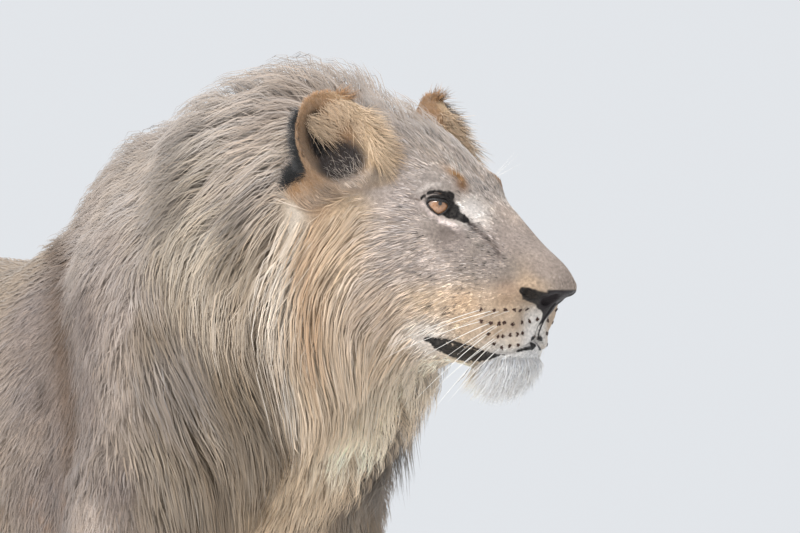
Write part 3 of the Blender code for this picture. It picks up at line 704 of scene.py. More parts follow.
def groove(points, line, width, depth):
    """How deep a groove along the line is at each point, and how far along it the point lies."""
    away, along = near_line(points, line)
    return depth * np.exp(-((away / width) ** 2)), along


def pushed(points, head):
    """How far half of the face's, trunk's and legs' forms move each point out along its normal."""
    push = np.zeros(len(points))
    for side in SIDES.values():
        flip = (1, side, 1)
        for centre, radii, height in SWELLS:
            gap = (head - mm(centre) * flip) / mm(radii)
            push += mm(height) * np.exp(-(gap**2).sum(1))
        for line, width, depth in FOLDS:
            line = mm(line) * flip
            share = 0.5 if abs(line[:, 1]).max() < 1e-6 else 1.0  # one on the midline is met twice
            deep, along = groove(head, line, mm(width), mm(depth))
            ends = ramp(0, 0.12, along) * ramp(1, 0.86, along) if line[0][1] else ramp(1, 0.9, along)
            push -= share * deep * (0.25 + 0.75 * ends)
        deep, along = groove(points, mm(SHOULDER_FOLD) * flip, 0.011, 0.007)
        push -= deep * ramp(0, 0.2, along)
        for line, width, depth in TRUNK_GROOVES:
            push -= groove(points, mm(line) * flip, mm(width), mm(depth))[0]
    for line, width, depth in leg_grooves():
        push -= groove(points, line, width, depth)[0]
    for ends in toe_gaps():
        push -= groove(points, ends, 0.006, 0.0075)[0]
    return push / 2


def over_eyeball(head, side):
    """The points near one eye, moved out to the lid over the ball or into the opening behind it."""
    ball = lid_size()
    centre, rows = eye_frame(side)
    offset = head - centre
    local = offset @ rows.T
    reach = np.linalg.norm(offset, axis=1)
    rim = in_lids(local)
    lid = ball + 0.0024 + 0.0012 * np.exp(-(((rim - 1.25) / 0.22) ** 2)) * (local[:, 1] > 0)
    hold = ramp(2.5, 1.35, rim)
    new = np.where(rim < 0.99, ball - 0.0045, reach * (1 - hold) + lid * hold)
    use = (local[:, 2] > -0.004) & (reach < 0.05) & (rim < 2.5)
    moved = centre + offset * (new / np.maximum(reach, 1e-6))[:, None]
    return np.where(use[:, None], moved, head)


def sculpted(obj):
    """The face's swells and folds, the lids over the eyeballs, the toes and the fold behind the shoulder."""
    mesh = obj.data
    for _ in range(2):  # half at a time, so the forms build on each other
        points, normals = places(mesh), outwards(mesh)
        place_all(mesh, points + normals * pushed(points, to_head(points))[:, None])
    head = to_head(places(mesh))
    x, z = head[:, 0], head[:, 2]
    back = ramp(-0.001, -0.017, z) * ramp(-0.068, -0.046, z) * ramp(-0.090, -0.045, x)
    head[:, 0] -= 0.0105 * back  # the lips lie behind the tip of the nose
    head[:, 1] *= 1 - 0.16 * back
    for side in SIDES:
        head = over_eyeball(head, side)
    place_all(mesh, from_head(head))


def toe_gaps():
    """Front and back of each gap between two toes, from where the claws are."""
    gaps = []
    for side in SIDES:
        for leg in LEGS:
            tips = [middle(f"{leg}_{side}_claw_{k}") for k in (1, 2, 3, 4)]
            for one, two in zip(tips, tips[1:]):
                y, x = (one.y + two.y) / 2, min(one.x, two.x)
                gaps.append(((x - 0.002, y, 0.004), (x - 0.012, y, 0.052)))
                gaps.append(((x - 0.012, y, 0.052), (x - 0.045, y, 0.072)))
    return gaps


# ---- markings and painted shade ----
BLACK, PALE, OCHRE = (14, 12, 12), (216, 206, 196), (150, 115, 82)
SPOTS = (  # in the head's frame, in millimetres: middle, radii; colour, strength
    ((-150, 78, -15), (32, 30, 20), (198, 172, 142), 0.55),
    ((-108, 58, -12), (26, 20, 14), (184, 154, 124), 0.6),
    ((-58, 48, -2), (16, 14, 12), (160, 124, 98), 0.5),
    ((-120, 60, 40), (24, 18, 20), (150, 138, 131), 0.6),
    ((-82, 46, 30), (22, 14, 18), (150, 138, 132), 0.55),
    ((-110, 43, 90), (12, 12, 11), (212, 206, 202), 0.6),
    ((-134, 40, 125), (20, 6, 12), (150, 112, 72), 1.25),
    ((-130, 42, 117), (16, 5.5, 6.5), (112, 76, 44), 1),
    ((-162, 62, -40), (20, 16, 10), PALE, 0.55),
    ((-36, 30, -30), (10, 12, 12), (205, 190, 172), 0.6),
    ((-56, 37, -38), (13, 15, 20), (200, 176, 152), 0.9),
    ((-62, 36, -58), (12, 12, 8), (206, 186, 164), 0.7),
)
STREAKS = (  # in the head's frame, in millimetres: line, half its width; colour, strength
    (((-159, 72, 99), (-147, 69, 85.5), (-137.5, 65, 78.5), (-126, 58.5, 73), (-118, 53, 66)),
     3.2, (232, 214, 206), 0.95),
    (((-164, 73, 108), (-152, 66, 116), (-140, 55, 118)), 2.6, (206, 194, 186), 0.6),
    # painted shade along the groove beside the nose that FOLDS cuts from the eye's inner corner down
    (((-106, 46, 74), (-94, 45, 62), (-78, 41, 50), (-71, 43, 36)), 6, (128, 116, 110), 0.65),
    (((-118, 50, 81), (-108, 46.5, 73), (-100, 45.5, 66)), 4, (40, 34, 34), 0.8),
    (((-110, 48, 77), (-100, 45.5, 66), (-86, 43, 55), (-76, 42.5, 44), (-73, 44, 34)),
     2.6, (74, 63, 58), 0.62),
    (((-118, 8, 122), (-135, 6, 140), (-160, 2, 162), (-185, 0, 182)), 3.2, (118, 104, 94), 0.65),
    (((-155, 73, 100), (-164, 77, 101.5), (-175, 82, 102)), 1.3, (92, 76, 66), 0.7),
    (((-48, 3, -51), (-49, 9, -56)), 3, (92, 72, 58), 0.9),
)
BARE_LINES = (  # black and bare, in millimetres: line, half its width at each end; how ragged its edge is
    (((-50.7, 8, -56), (-51.7, 5, -60.5), (-52.1, 7.8, -64.4), (-56.4, 16.7, -65.8), (-61.9, 23.6, -68.1)),
     4, 1.4, 0.3),
    (((-72, 35, -70), (-85, 41, -70), (-108, 50, -64), (-132, 54, -59.5), (-158, 60, -56)),
     0.8, 3, 0.5),
    (((-127.6, 38.9, -71.5), (-111.6, 38.4, -73), (-95.2, 38.4, -73.5), (-80, 36, -72.5)), 14.8, 2, 0.4),
    (((-127.6, 38.9, -71.5), (-138.1, 43.1, -67.5), (-149.8, 50.5, -61.1), (-155, 56.5, -56)), 14.8, 3.4, 0.4),
    (((-156, 70, 101.5), (-148, 64, 105.5), (-140, 58, 106), (-132.5, 53, 105)), 2.6, 5.2, 0.2),
    (((-132, 53, 104), (-130, 54, 97), (-127, 53, 90)), 5, 6.6, 0.1),
    (((-129, 54.5, 89), (-119, 51, 84), (-112, 48, 78.5)), 5.8, 2.4, 0.45),
    (((-134, 59, 85), (-124, 54, 81.5), (-115, 50, 77.5)), 3.6, 3.4, 0.35),
    (((-41, 46, -1), (-34, 41, -4), (-26, 34, -8)), 4.2, 5, 0.1),
    (((-40.5, 41, -5.5), (-36.5, 34.5, -8.5), (-33.2, 23.5, -12.5), (-34.5, 11.5, -16.5)), 5.6, 6.6, 0.15),
    (((-26, 34, -8), (-20, 22, -11)), 5.4, 8, 0),
    (((-16, 0, -18), (-30, 0, -36), (-46, 0, -56)), 1.7, 1.1, 0),
)
NOSE_OUTLINE = ((-40, -34, -26, -18, -8, 2, 4), (1, 2.5, 8, 18, 27, 31, 30))  # heights, half the width there
SHOULDER_BAND = ((150, 75, 975), (224, 129, 919), (281, 158, 852), (310, 169, 786), (330, 175, 720))
BANDS = (  # on the neck and shoulder, left side, in millimetres: line, half its width; colour, strength. Several are painted shade and shadow.
    # painted shade: a dark band down the shoulder where it turns away from the light
    (SHOULDER_BAND, 24, (100, 82, 68), 0.82),
    # painted shade in the crease behind the shoulder
    (SHOULDER_FOLD, 6, (78, 66, 58), 0.75),
    (((722, 90, 1020), (715, 86, 975), (706, 83, 930), (700, 80, 885)), 16, (164, 126, 90), 0.6),
    # painted shadow behind the ruff's rear edge; the next row is a pale streak along that edge
    (((660, 100, 900), (639, 93, 830), (622, 76, 786), (581, 64, 741), (536, 49, 697)), 12, (84, 66, 50), 0.75),
    (((701, 99, 1040), (685, 103, 986), (671, 107, 941), (658, 105, 897), (655, 96, 852), (650, 74, 797)),
     11, (226, 212, 196), 0.8),
    # painted shadow in a dark groove between the mane's locks over the shoulder
    (((428, 127, 968), (450, 135, 910), (480, 140, 858), (500, 127, 800), (505, 110, 741)),
     14, (96, 86, 78), 0.4),
    (((480, 90, 1115), (498, 98, 1088), (512, 106, 1060), (524, 113, 1030)), 24, (88, 80, 72), 0.7),
    (((530, 118, 930), (545, 118, 850), (550, 110, 790)), 9, (100, 84, 68), 0.5),
)
EAR_SEAT = (-0.245, 0.114, 0.162)
EAR_TURN, EAR_LEAN, EAR_SPREAD = math.radians(48), math.radians(-14), math.radians(18)
EAR_HALF = (0.034, 0.052, 0.070)


def ear_frame(side):
    """Middle of the ear in the head's frame, and rows for the way it opens, across it and up it."""
    s = SIDES[side]
    turn = Matrix.Rotation(s * EAR_TURN, 3, "Z") @ Matrix.Rotation(EAR_LEAN, 3, "Y")
    turn = turn @ Matrix.Rotation(-s * EAR_SPREAD, 3, "X")
    return np.array(EAR_SEAT) * (1, s, 1), np.array(turn.transposed(), float)


def ear_place(points, side):
    """Points in the ear's own frame and how far out to its rim they are, then across it and up it as
    shares of its half width and height: 1 at the outer edge, 1 at the top."""
    centre, rows = ear_frame(side)
    local = (to_head(points) - centre) @ rows.T
    across, up = local[:, 1] / EAR_HALF[1], local[:, 2] / EAR_HALF[2]
    return local, np.hypot(across, up), SIDES[side] * across, up


def in_nose(head):
    """1 on the bare nose leather and 0 on the fur."""
    x, y, z = head[:, 0], abs(head[:, 1]), head[:, 2]
    half = np.interp(z, *mm(NOSE_OUTLINE))
    inside = ramp(0.0022, -0.0006, y - half) * ramp(0.0012, -0.0012, z)
    return inside * ramp(-0.0405, -0.037, z) * ramp(-0.062, -0.054, x)


def mottled(points, size, seed):
    """Soft noise from -1 to 1 with patches of that size."""
    shift = Vector((seed * 7.31, seed * 3.17, seed * 5.77))
    return np.array([noise.noise(Vector(p) / size + shift) for p in points])


def through(line, share):
    """Points of a line at those shares, counted in its stretches."""
    line = np.asarray(line, float)
    return np.column_stack([np.interp(share, np.arange(len(line)), line[:, k]) for k in range(3)])


def laid(line, tree):
    """A left-hand line of a table laid onto the skin in short stretches, in the head's frame."""
    fine = through(mm(line), np.linspace(0, len(line) - 1, 8 * (len(line) - 1) + 1))
    return to_head([tree.find_nearest(Vector(from_head(p)))[0] for p in fine])


class Coloured:
    """Colours over the skin, painted over one another."""

    def __init__(self, paint):
        self.paint = paint

    def over(self, colour, share):
        share = np.clip(share, 0, 1)[:, None]
        self.paint = self.paint * (1 - share) + linear(colour) * share


def mark_back(coat, points):
    """A young lion's faint spots low on the flanks, and its darker back."""
    x, y, z = points.T
    low = ramp(0.80, 0.66, z) * ramp(0.14, 0.22, z) * ramp(0.42, 0.30, x)
    coat.over((150, 116, 86), 0.32 * low * ramp(0.22, 0.42, mottled(points, 0.016, 21)))
    shade = 0.30 * ramp(0.985, 1.02, z) * ramp(0.25, 0.10, x)
    spine = 0.22 * ramp(0.03, 0.008, abs(y)) * ramp(0.86, 0.93, z) * ramp(0.2, 0.1, x)
    coat.over((138, 112, 88), shade + spine)


def mark_ear(coat, points, side, ragged):
    """Tan fur, painted shade in the hollow and the black back of one ear."""
    local, rim, a, b = ear_place(points, side)
    on = near_ear(points) * ramp(1.35, 1.18, rim) * ramp(-0.95, -0.75, b)
    back = ramp(0.004, -0.004, local[:, 0])
    cup = ramp(-0.030, -0.022, local[:, 0]) * ramp(0.92, 0.74, rim)
    down = ramp(-0.02, -0.30, b)
    coat.over(OCHRE, on * (0.86 + 0.30 * ragged))
    coat.over((196, 170, 138), on * (1 - back) * ramp(-0.1, -0.6, a) * 0.8)
    # painted shade in the ear's hollow: a broad darker brown, and darkest in the deep cup
    coat.over((120, 102, 86), on * (1 - back) * ramp(0.85, 0.45, np.hypot(a - 0.1, b + 0.05)))
    coat.over((48, 42, 40), on * cup * ramp(1.0, 0.60, np.hypot((a - 0.02) / 0.66, (b + 0.28) / 0.46)))
    coat.over((148, 128, 110), on * ramp(-0.45, -0.7, b) * ramp(0.2, 0.5, a))
    coat.over((172, 156, 142), 0.85 * on * ramp(-0.50, -0.72, b) * ramp(0.45, 0.15, a))
    behind = back * ramp(0, 0.25, a + 0.1 - 0.9 * down)
    edge = ramp(0.84, 0.92, rim) * ramp(0, 0.25, a - 0.35 - 0.4 * down)
    band = ramp(-0.22, -0.08, b) * ramp(0.74, 0.60, b) * ramp(0.10, 0, rim - 1.26 + 0.12 * down)
    coat.over(BLACK, on * np.maximum(behind, edge) * band)


def bare_skin(points, head, near, ragged, tree):
    """1 where black bare skin shows: lips, nostrils, lids, nose and the undersides of the paws."""
    bare = np.zeros(len(points))
    for line, start, end, rough in BARE_LINES:
        away, along = near_line(on_left(head), laid(line, tree))
        width = (mm(start) + (mm(end) - mm(start)) * along) * (1 + rough * ragged)
        bare = np.maximum(bare, ramp(1.2, 0.85, away / width))
    for side in SIDES:
        centre, rows = eye_frame(side)
        local = (head - centre) @ rows.T
        rim = in_lids(local, 0.0016, 0.0056 + 0.0016 * ramp(-0.008, 0.008, local[:, 0]), 0.0010)
        on_ball = (local[:, 2] > 0) & (np.linalg.norm(head - centre, axis=1) < 0.03)
        bare = np.maximum(bare, ramp(1.08, 0.96, rim) * on_ball)
    bare = np.maximum(bare, in_nose(head)) * near
    return np.maximum(bare, ramp(0.010, 0.004, points[:, 2]))


def marked(points, paint, tree):
    """The coat's colour with its markings and painted shade, and how bare the skin is there."""
    head = to_head(points)
    left = on_left(head)
    near = (head[:, 0] > -0.26) & (head[:, 2] > -0.14)
    tint, ragged = mottled(points, 0.06, 3), mottled(points, 0.0030, 12)
    shade = 1 + 0.07 * mottled(points, 0.030, 1) + 0.05 * mottled(points, 0.008, 2)
    flecks = 1 + near * (0.34 * mottled(points, 0.0030, 5) + 0.13 * mottled(points, 0.011, 6))
    coat = Coloured(paint * shade[:, None] * flecks[:, None] * (1 + tint[:, None] * (0.03, 0.0, -0.05)))
    mark_back(coat, points)
    for centre, radii, colour, strength in SPOTS:
        gap = (left - mm(centre)) / mm(radii)
        coat.over(colour, strength * np.exp(-(gap**2).sum(1)))
    for line, width, colour, strength in STREAKS:
        away, along = near_line(left, laid(line, tree))
        across = ramp(1.7 * mm(width), 0.2 * mm(width), away)
        ends = ramp(-0.05, 0.15, along) * ramp(1.05, 0.85, along)
        coat.over(colour, strength * (1 + 0.7 * ragged) * across * ends)
    for line, width, colour, strength in BANDS:
        away, _ = near_line(on_left(points), mm(line))
        coat.over(colour, strength * (1 + 0.35 * tint) * np.exp(-((away / mm(width)) ** 2)))
    for side in SIDES:
        mark_ear(coat, points, side, ragged)
    bare = bare_skin(points, head, near, ragged, tree)
    coat.over((12, 10, 11), bare * (0.97 + 0.05 * ragged))
    coat.over((36, 31, 33), bare * in_nose(head) * near)
    return np.clip(coat.paint, 0.002, 0.95), bare


# ---- what the coat grows from ----
ATTRIBUTE_KINDS = {1: ("FLOAT", "value"), 3: ("FLOAT_VECTOR", "vector"), 4: ("FLOAT_COLOR", "color")}


def keep_attribute(mesh, name, values):
    """Keeps a number, a vector or a colour at each point, by how wide each value is."""
    values = np.asarray(values, np.float32)
    kind, field = ATTRIBUTE_KINDS[values.size // len(mesh.vertices)]
    attribute = mesh.attributes.get(name) or mesh.attributes.new(name, kind, "POINT")
    attribute.data.foreach_set(field, values.ravel())


def kept(mesh, name, width=1):
    """A kept attribute's values, of that width."""
    out = np.empty(len(mesh.vertices) * width, np.float32)
    mesh.attributes[name].data.foreach_get(ATTRIBUTE_KINDS[width][1], out)
    return out.reshape(-1, width).astype(float) if width > 1 else out.astype(float)


def unwrapped(obj):
    """Lays the skin's own shape out flat, as the map that the skin and every tuft share."""
    bpy.ops.object.select_all(action="DESELECT")
    bpy.context.view_layer.objects.active = obj
    obj.select_set(True)
    bpy.ops.object.mode_set(mode="EDIT")
    bpy.ops.mesh.select_all(action="SELECT")
    bpy.ops.uv.smart_project(angle_limit=math.radians(66), island_margin=0.002, area_weight=0.5)
    bpy.ops.object.mode_set(mode="OBJECT")
    obj.data.uv_layers.active.name = "OFBake"


def laid_on_ears(points, coat):
    """The lie and length of the coat, with those of the ears' own fur on the ears."""
    lie, length = coat.lie, coat.length
    for side in SIDES:
        _, rows = ear_frame(side)
        local, rim, _, _ = ear_place(points, side)
        on = near_ear(points) * ramp(1.4, 1.2, rim) * ramp(-0.070, -0.055, local[:, 2])
        in_cup = (ramp(-0.002, 0.004, local[:, 0]) * ramp(0.95, 0.80, rim))[:, None]
        up = HEAD_AXES @ (rows.T @ np.array((-0.25, 0.0, 1.0)))
        across = HEAD_AXES @ (rows.T @ np.array((0.6, 0.5 * SIDES[side], 0.7)))
        lie = lie * (1 - on[:, None]) + (up * (1 - in_cup) + across * in_cup) * on[:, None]
        length = length * (1 - on) + 0.010 * on
    return lie, length


SWAY_SEED = 7


def coat_facts(obj, outline):
    """Keeps on the skin which way the hair lies, how long it is, how much room it has and its colour."""
    mesh = obj.data
    points, normals = places(mesh), outwards(mesh)
    coat = coat_at(points)
    lie, length = laid_on_ears(points, coat)
    x, y, z = points.T
    under = ramp(0.88, 0.76, z) * ramp(0.48, 0.58, x) * ramp(0.085, 0.050, abs(y))  # below the beard
    far = ramp(0.95, 0.86, z) * ramp(0.54, 0.62, x) * ramp(0.0, 0.045, y)  # the left of the throat
    length = length * ((1 - 0.50 * under) * (1 - 0.55 * far))
    lie = unit(lie) - np.array((0.7, 0, 0)) * np.maximum(under, far)[:, None]
    noise.seed_set(SWAY_SEED)  # without it, noise_vector's places differ from run to run
    for k, (size, amount) in enumerate(((0.05, 0.25), (0.018, 0.20))):
        sway = np.array([noise.noise_vector(Vector(p) / size + Vector((k * 9.1, 2.3, 4.7))) for p in points])
        lie = unit(lie) + amount * sway * ramp(0.008, 0.05, length)[:, None]
    flat = lie - normals * (lie * normals).sum(1)[:, None]
    tree = BVHTree.FromPolygons(*outline)
    room = np.array([tree.find_nearest(Vector(p))[3] or 0.0 for p in points])
    body = BVHTree.FromPolygons(points.tolist(), [tuple(p.vertices) for p in mesh.polygons])
    paint, bare = marked(points, coat.paint, body)
    keep_attribute(mesh, "lie", unit(flat))
    keep_attribute(mesh, "hang", unit(lie))
    keep_attribute(mesh, "hair", length)
    keep_attribute(mesh, "room", np.clip(room, 0.0012, 0.034))
    keep_attribute(mesh, "bare", bare)
    keep_attribute(mesh, "coat_colour", np.column_stack([paint, np.ones(len(paint))]))


_skin = {}


def skin_facts():
    """The skin's arrays, read once."""
    if not _skin:
        mesh = bpy.data.objects["lion_skin"].data
        mesh.calc_loop_triangles()
        count = len(mesh.loop_triangles)
        tri, loops = np.empty(count * 3, np.int32), np.empty(count * 3, np.int32)
        mesh.loop_triangles.foreach_get("vertices", tri)
        mesh.loop_triangles.foreach_get("loops", loops)
        uv = np.empty(len(mesh.loops) * 2, np.float32)
        mesh.uv_layers["OFBake"].data.foreach_get("uv", uv)
        at, tri = places(mesh), tri.reshape(-1, 3)
        corners = at[tri]
        across = np.cross(corners[:, 1] - corners[:, 0], corners[:, 2] - corners[:, 0])
        area = np.linalg.norm(across, axis=1) / 2
        _skin.update(at=at, head=to_head(at), normal=outwards(mesh), tri=tri, area=area)
        _skin.update(uv=uv.reshape(-1, 2)[loops].reshape(-1, 3, 2), paint=kept(mesh, "coat_colour", 4)[:, :3])
        _skin.update({name: kept(mesh, name, 3) for name in ("lie", "hang")})
        _skin.update({name: kept(mesh, name) for name in ("hair", "room", "bare")})
    return SimpleNamespace(**_skin)


def sown(per_area, count, seed):
    """Roots over the skin where per_area is above 0, in proportion to it: even, seeded, count in all."""
    skin = skin_facts()
    rng = np.random.default_rng(seed)
    weight = skin.area * per_area[skin.tri].mean(1)
    total = np.cumsum(weight)
    spots = (np.arange(count) + rng.random(count)) / count * total[-1]
    tri = np.minimum(np.searchsorted(total, spots), len(total) - 1)
    a, b = rng.random(count), rng.random(count)
    a, b = np.where(a + b > 1, 1 - a, a), np.where(a + b > 1, 1 - b, b)
    share = np.column_stack([1 - a - b, a, b])

    def mixed(name):
        picked = getattr(skin, name)[skin.tri[tri]]
        return (picked * (share[:, :, None] if picked.ndim == 3 else share)).sum(1)

    roots = {name: mixed(name) for name in ("at", "hair", "room", "paint", "bare")}
    roots.update({name: unit(mixed(name)) for name in ("normal", "lie", "hang")})
    return SimpleNamespace(uv=(skin.uv[tri] * share[:, :, None]).sum(1), count=count, **roots)


def short_paths(roots, length, stand, steps, rng, stray=0.12):
    """Short hairs: they leave the skin at an angle and lie down along it."""
    side = np.cross(roots.lie, roots.normal)
    lean = rng.normal(0, stray, roots.count)[:, None]
    lie = unit(roots.lie + side * lean)
    t = np.linspace(0, 1, steps + 1)[None, :, None]
    up = np.asarray(stand, float).reshape(-1, 1, 1) * np.sin(np.minimum(t * 1.5, 1.0) * math.pi / 2)
    along = lie[:, None] * length[:, None, None] * t
    paths = roots.at[:, None] - roots.normal[:, None] * 0.0012 + along + roots.normal[:, None] * up
    return paths, np.broadcast_to(roots.normal[:, None], paths.shape)


def long_paths(roots, length, level, steps, droop=0.25):
    """Long hairs: each follows the lie at its own level, and hangs free where the skin turns under."""
    skin = skin_facts()
    chosen = np.flatnonzero(skin.hair > 0.012)
    tree = nearest_of(skin.at[chosen])
    base, step = roots.at.copy(), (length / steps)[:, None]
    paths, ups = [roots.at - roots.normal * 0.002], [roots.normal]
    going = unit(roots.hang + roots.normal * 0.25)
    for k in range(1, steps + 1):
        near = chosen[np.array([tree.find(p)[1] for p in base])]
        normal, lie, hang, room = skin.normal[near], skin.lie[near], skin.hang[near], skin.room[near]
        free = ramp(0.15, 0.55, (hang * normal).sum(1))[:, None]
        going = unit(0.45 * going + lie * (1 - free) + hang * free + np.array((0, 0, -droop * k / steps)))
        base = base + going * step
        high = ((base - skin.at[near]) * normal).sum(1)
        wanted = room * level * math.sin(min(1.0, 0.25 + k / steps) * math.pi / 2)
        pull = np.where(high < wanted, 1.0, 0.75 * (1 - free[:, 0]))
        base = base + normal * ((wanted - high) * pull)[:, None]
        paths.append(base.copy())
        ups.append(normal)
    return np.stack(paths, 1), np.stack(ups, 1)


def thrown_paths(roots, going, length, sag):
    """Loose hairs of two steps: straight out along going, bent by sag more and more towards the tip."""
    t = np.linspace(0, 1, 3)[None, :, None]
    reach = length[:, None, None]
    start = roots.at[:, None] - roots.normal[:, None] * 0.001
    return start + going[:, None] * reach * t + np.asarray(sag) * reach * t**2


def clustered(paths, ups, children, spread, rng, gather=0.75, frizz=0.0):
    """Several hairs round each lock's path, apart at the root and drawn together towards the tip."""
    steps = paths.shape[1]
    tangent = unit(np.gradient(paths, axis=1))
    side = unit(np.cross(tangent, ups))
    up = np.cross(side, tangent)
    t = np.linspace(0, 1, steps)[None, :, None]
    out, out_ups = [], []
    for _ in range(children):
        a = rng.normal(0, 1, len(paths))[:, None, None] * spread.reshape(-1, 1, 1)
        b = rng.normal(0, 0.45, len(paths))[:, None, None] * spread.reshape(-1, 1, 1)
        reach = 0.72 + 0.33 * rng.random(len(paths))[:, None, None]
        loose = 1 - gather * t**0.8
        path = paths + side * a * loose + up * b * loose * np.minimum(1, t * 4)
        path = path[:, :1] + (path - path[:, :1]) * reach
        if frizz:
            path = path + rng.normal(0, 1, (len(paths), steps, 3)) * frizz * spread.reshape(-1, 1, 1) * t
        out.append(path)
        out_ups.append(ups)
    return np.concatenate(out), np.concatenate(out_ups)


def hair_faces(rings):
    """The faces of one closed three-sided hair, as its points' numbers from the root to the tip."""
    around = [(m, (m + 1) % 3) for m in range(3)]
    quads = [(3 * k + m, 3 * k + n, 3 * k + 3 + n, 3 * k + 3 + m) for k in range(rings - 1) for m, n in around]
    last = 3 * (rings - 1)
    return quads + [(last + m, last + n, 3 * rings) for m, n in around] + [(2, 1, 0)]


def hair_mesh(name, paths, ups, width, shades, uv, flat, soft):
    """One joined mesh of closed three-sided hairs, thick at the root and drawn out to a point."""
    count, rings = len(paths), paths.shape[1] - 1
    tangent = unit(np.gradient(paths, axis=1))
    side = unit(np.cross(tangent, ups))
    up = np.cross(side, tangent)
    t = np.arange(rings) / rings
    taper = (0.8 + 0.8 * t - 1.35 * t**2)[None, :, None] * width[:, None, None]
    body, side, up = paths[:, :rings], side[:, :rings], up[:, :rings]
    ring = np.stack([body - side * taper / 2, body + up * taper * flat, body + side * taper / 2], 2)
    verts = np.concatenate([ring.reshape(count, -1, 3), paths[:, -1:]], 1).reshape(-1, 3)
    per, faces = rings * 3 + 1, hair_faces(rings)
    order = np.concatenate(faces)
    ahead = np.cumsum([0] + [len(face) for face in faces[:-1]])
    hairs = np.arange(count)[:, None]
    mesh = bpy.data.meshes.new(name)
    mesh.vertices.add(len(verts))
    mesh.vertices.foreach_set("co", verts.astype(np.float32).ravel())
    mesh.loops.add(len(order) * count)
    mesh.loops.foreach_set("vertex_index", (order + per * hairs).astype(np.int32).ravel())
    mesh.polygons.add(len(faces) * count)
    mesh.polygons.foreach_set("loop_start", (ahead + len(order) * hairs).astype(np.int32).ravel())
    mesh.polygons.foreach_set("use_smooth", np.ones(len(faces) * count, bool))
    mesh.update(calc_edges=True)
    along = np.append(np.repeat(t, 3), 1.0)
    paint = shades[0][:, None] * (1 - along[:, None]) + shades[1][:, None] * along[:, None]
    keep_attribute(mesh, "coat_colour", np.clip(np.concatenate([paint, np.ones((count, per, 1))], 2), 0, 1))
    spot = np.column_stack([np.append(np.tile((-0.5, 0, 0.5), rings), 0), along - 0.5]) * 0.003
    corner = (uv[:, None] + spot[None])[:, order].astype(np.float32)
    mesh.uv_layers.new(name="OFBake").data.foreach_set("uv", corner.ravel())
    own = np.stack([-side * 0.87 - up * 0.3, up, side * 0.87 - up * 0.3], 2).reshape(count, -1, 3)
    own = np.concatenate([own, ups[:, -1:]], 1)
    out = np.concatenate([np.repeat(ups[:, :rings], 3, 1), ups[:, -1:]], 1)
    mesh.normals_split_custom_set_from_vertices(unit(soft * out + (1 - soft) * own).reshape(-1, 3))
    return mesh


PIECE_TRIANGLES = 196000  # the most in one piece of the coat


def coat_pieces(name, paths, ups, width, shades, uv, slot="coat", flat=0.5, soft=0.7, keep=slice(None)):
    """The kept hairs as pieces of fewer than 200,000 triangles each; shades are their root and tip colours."""
    width = np.broadcast_to(width, len(paths))[keep]
    paths, ups, uv, shades = paths[keep], ups[keep], uv[keep], [shade[keep] for shade in shades]
    per_hair = 6 * (paths.shape[1] - 2) + 4
    pieces = math.ceil(len(paths) * per_hair / PIECE_TRIANGLES)
    for k in range(pieces):
        part = slice(k, None, pieces)
        title = f"{name}_{k + 1}" if pieces > 1 else name
        chosen = [shade[part] for shade in shades]
        mesh = hair_mesh(title, paths[part], ups[part], width[part], chosen, uv[part], flat, soft)
        mesh.materials.append(coat_material())
        obj = shown(title, mesh)
        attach(obj, "root")


# ---- materials ----
def feed(tree, socket, value):
    """Gives a socket a value, or a link from another node's socket."""
    if isinstance(value, bpy.types.NodeSocket):
        tree.links.new(value, socket)
    else:
        socket.default_value = value


def node(tree, kind, feeds=(), **settings):
    """A new shader node with its settings, and its sockets fed by name or number."""
    made = tree.nodes.new(f"ShaderNode{kind}")
    for name, value in settings.items():
        setattr(made, name, value)
    for socket, value in dict(feeds).items():
        feed(tree, made.inputs[socket], value)
    return made


def scaled(tree, vector, factor):
    """A colour or vector times a number."""
    return node(tree, "VectorMath", {0: vector, "Scale": factor}, operation="SCALE").outputs[0]


def stretched(tree, value, low, high):
    """A noise's middle range, 0.3 to 0.7, as low to high."""
    span = {"Value": value, "From Min": 0.3, "From Max": 0.7, "To Min": low, "To Max": high}
    return node(tree, "MapRange", span).outputs["Result"]


def blended(tree, kind, share, first, second):
    """The first socket where share is 0 and the second where it is 1."""
    mix = node(tree, "Mix", data_type=kind)
    for name, value in (("Factor", share), ("A", first), ("B", second)):
        feed(tree, next(s for s in mix.inputs if s.enabled and s.name == name), value)
    return next(s for s in mix.outputs if s.enabled)


def new_group(name, inputs, outputs):
    """An empty shader group with these sockets, numbers or colours, and its input node."""
    group = bpy.data.node_groups.new(name, "ShaderNodeTree")
    for title, default in inputs.items():
        kind = "NodeSocketColor" if isinstance(default, tuple) else "NodeSocketFloat"
        group.interface.new_socket(title, in_out="INPUT", socket_type=kind).default_value = default
    for title in outputs:
        kind = "NodeSocketColor" if title == "Color" else "NodeSocketFloat"
        group.interface.new_socket(title, in_out="OUTPUT", socket_type=kind)
    return group, group.nodes.new("NodeGroupInput").outputs


def put_out(group, results):
    """Ends a shader group with its output node."""
    sink = group.nodes.new("NodeGroupOutput")
    for title, value in results.items():
        feed(group, sink.inputs[title], value)
    return group


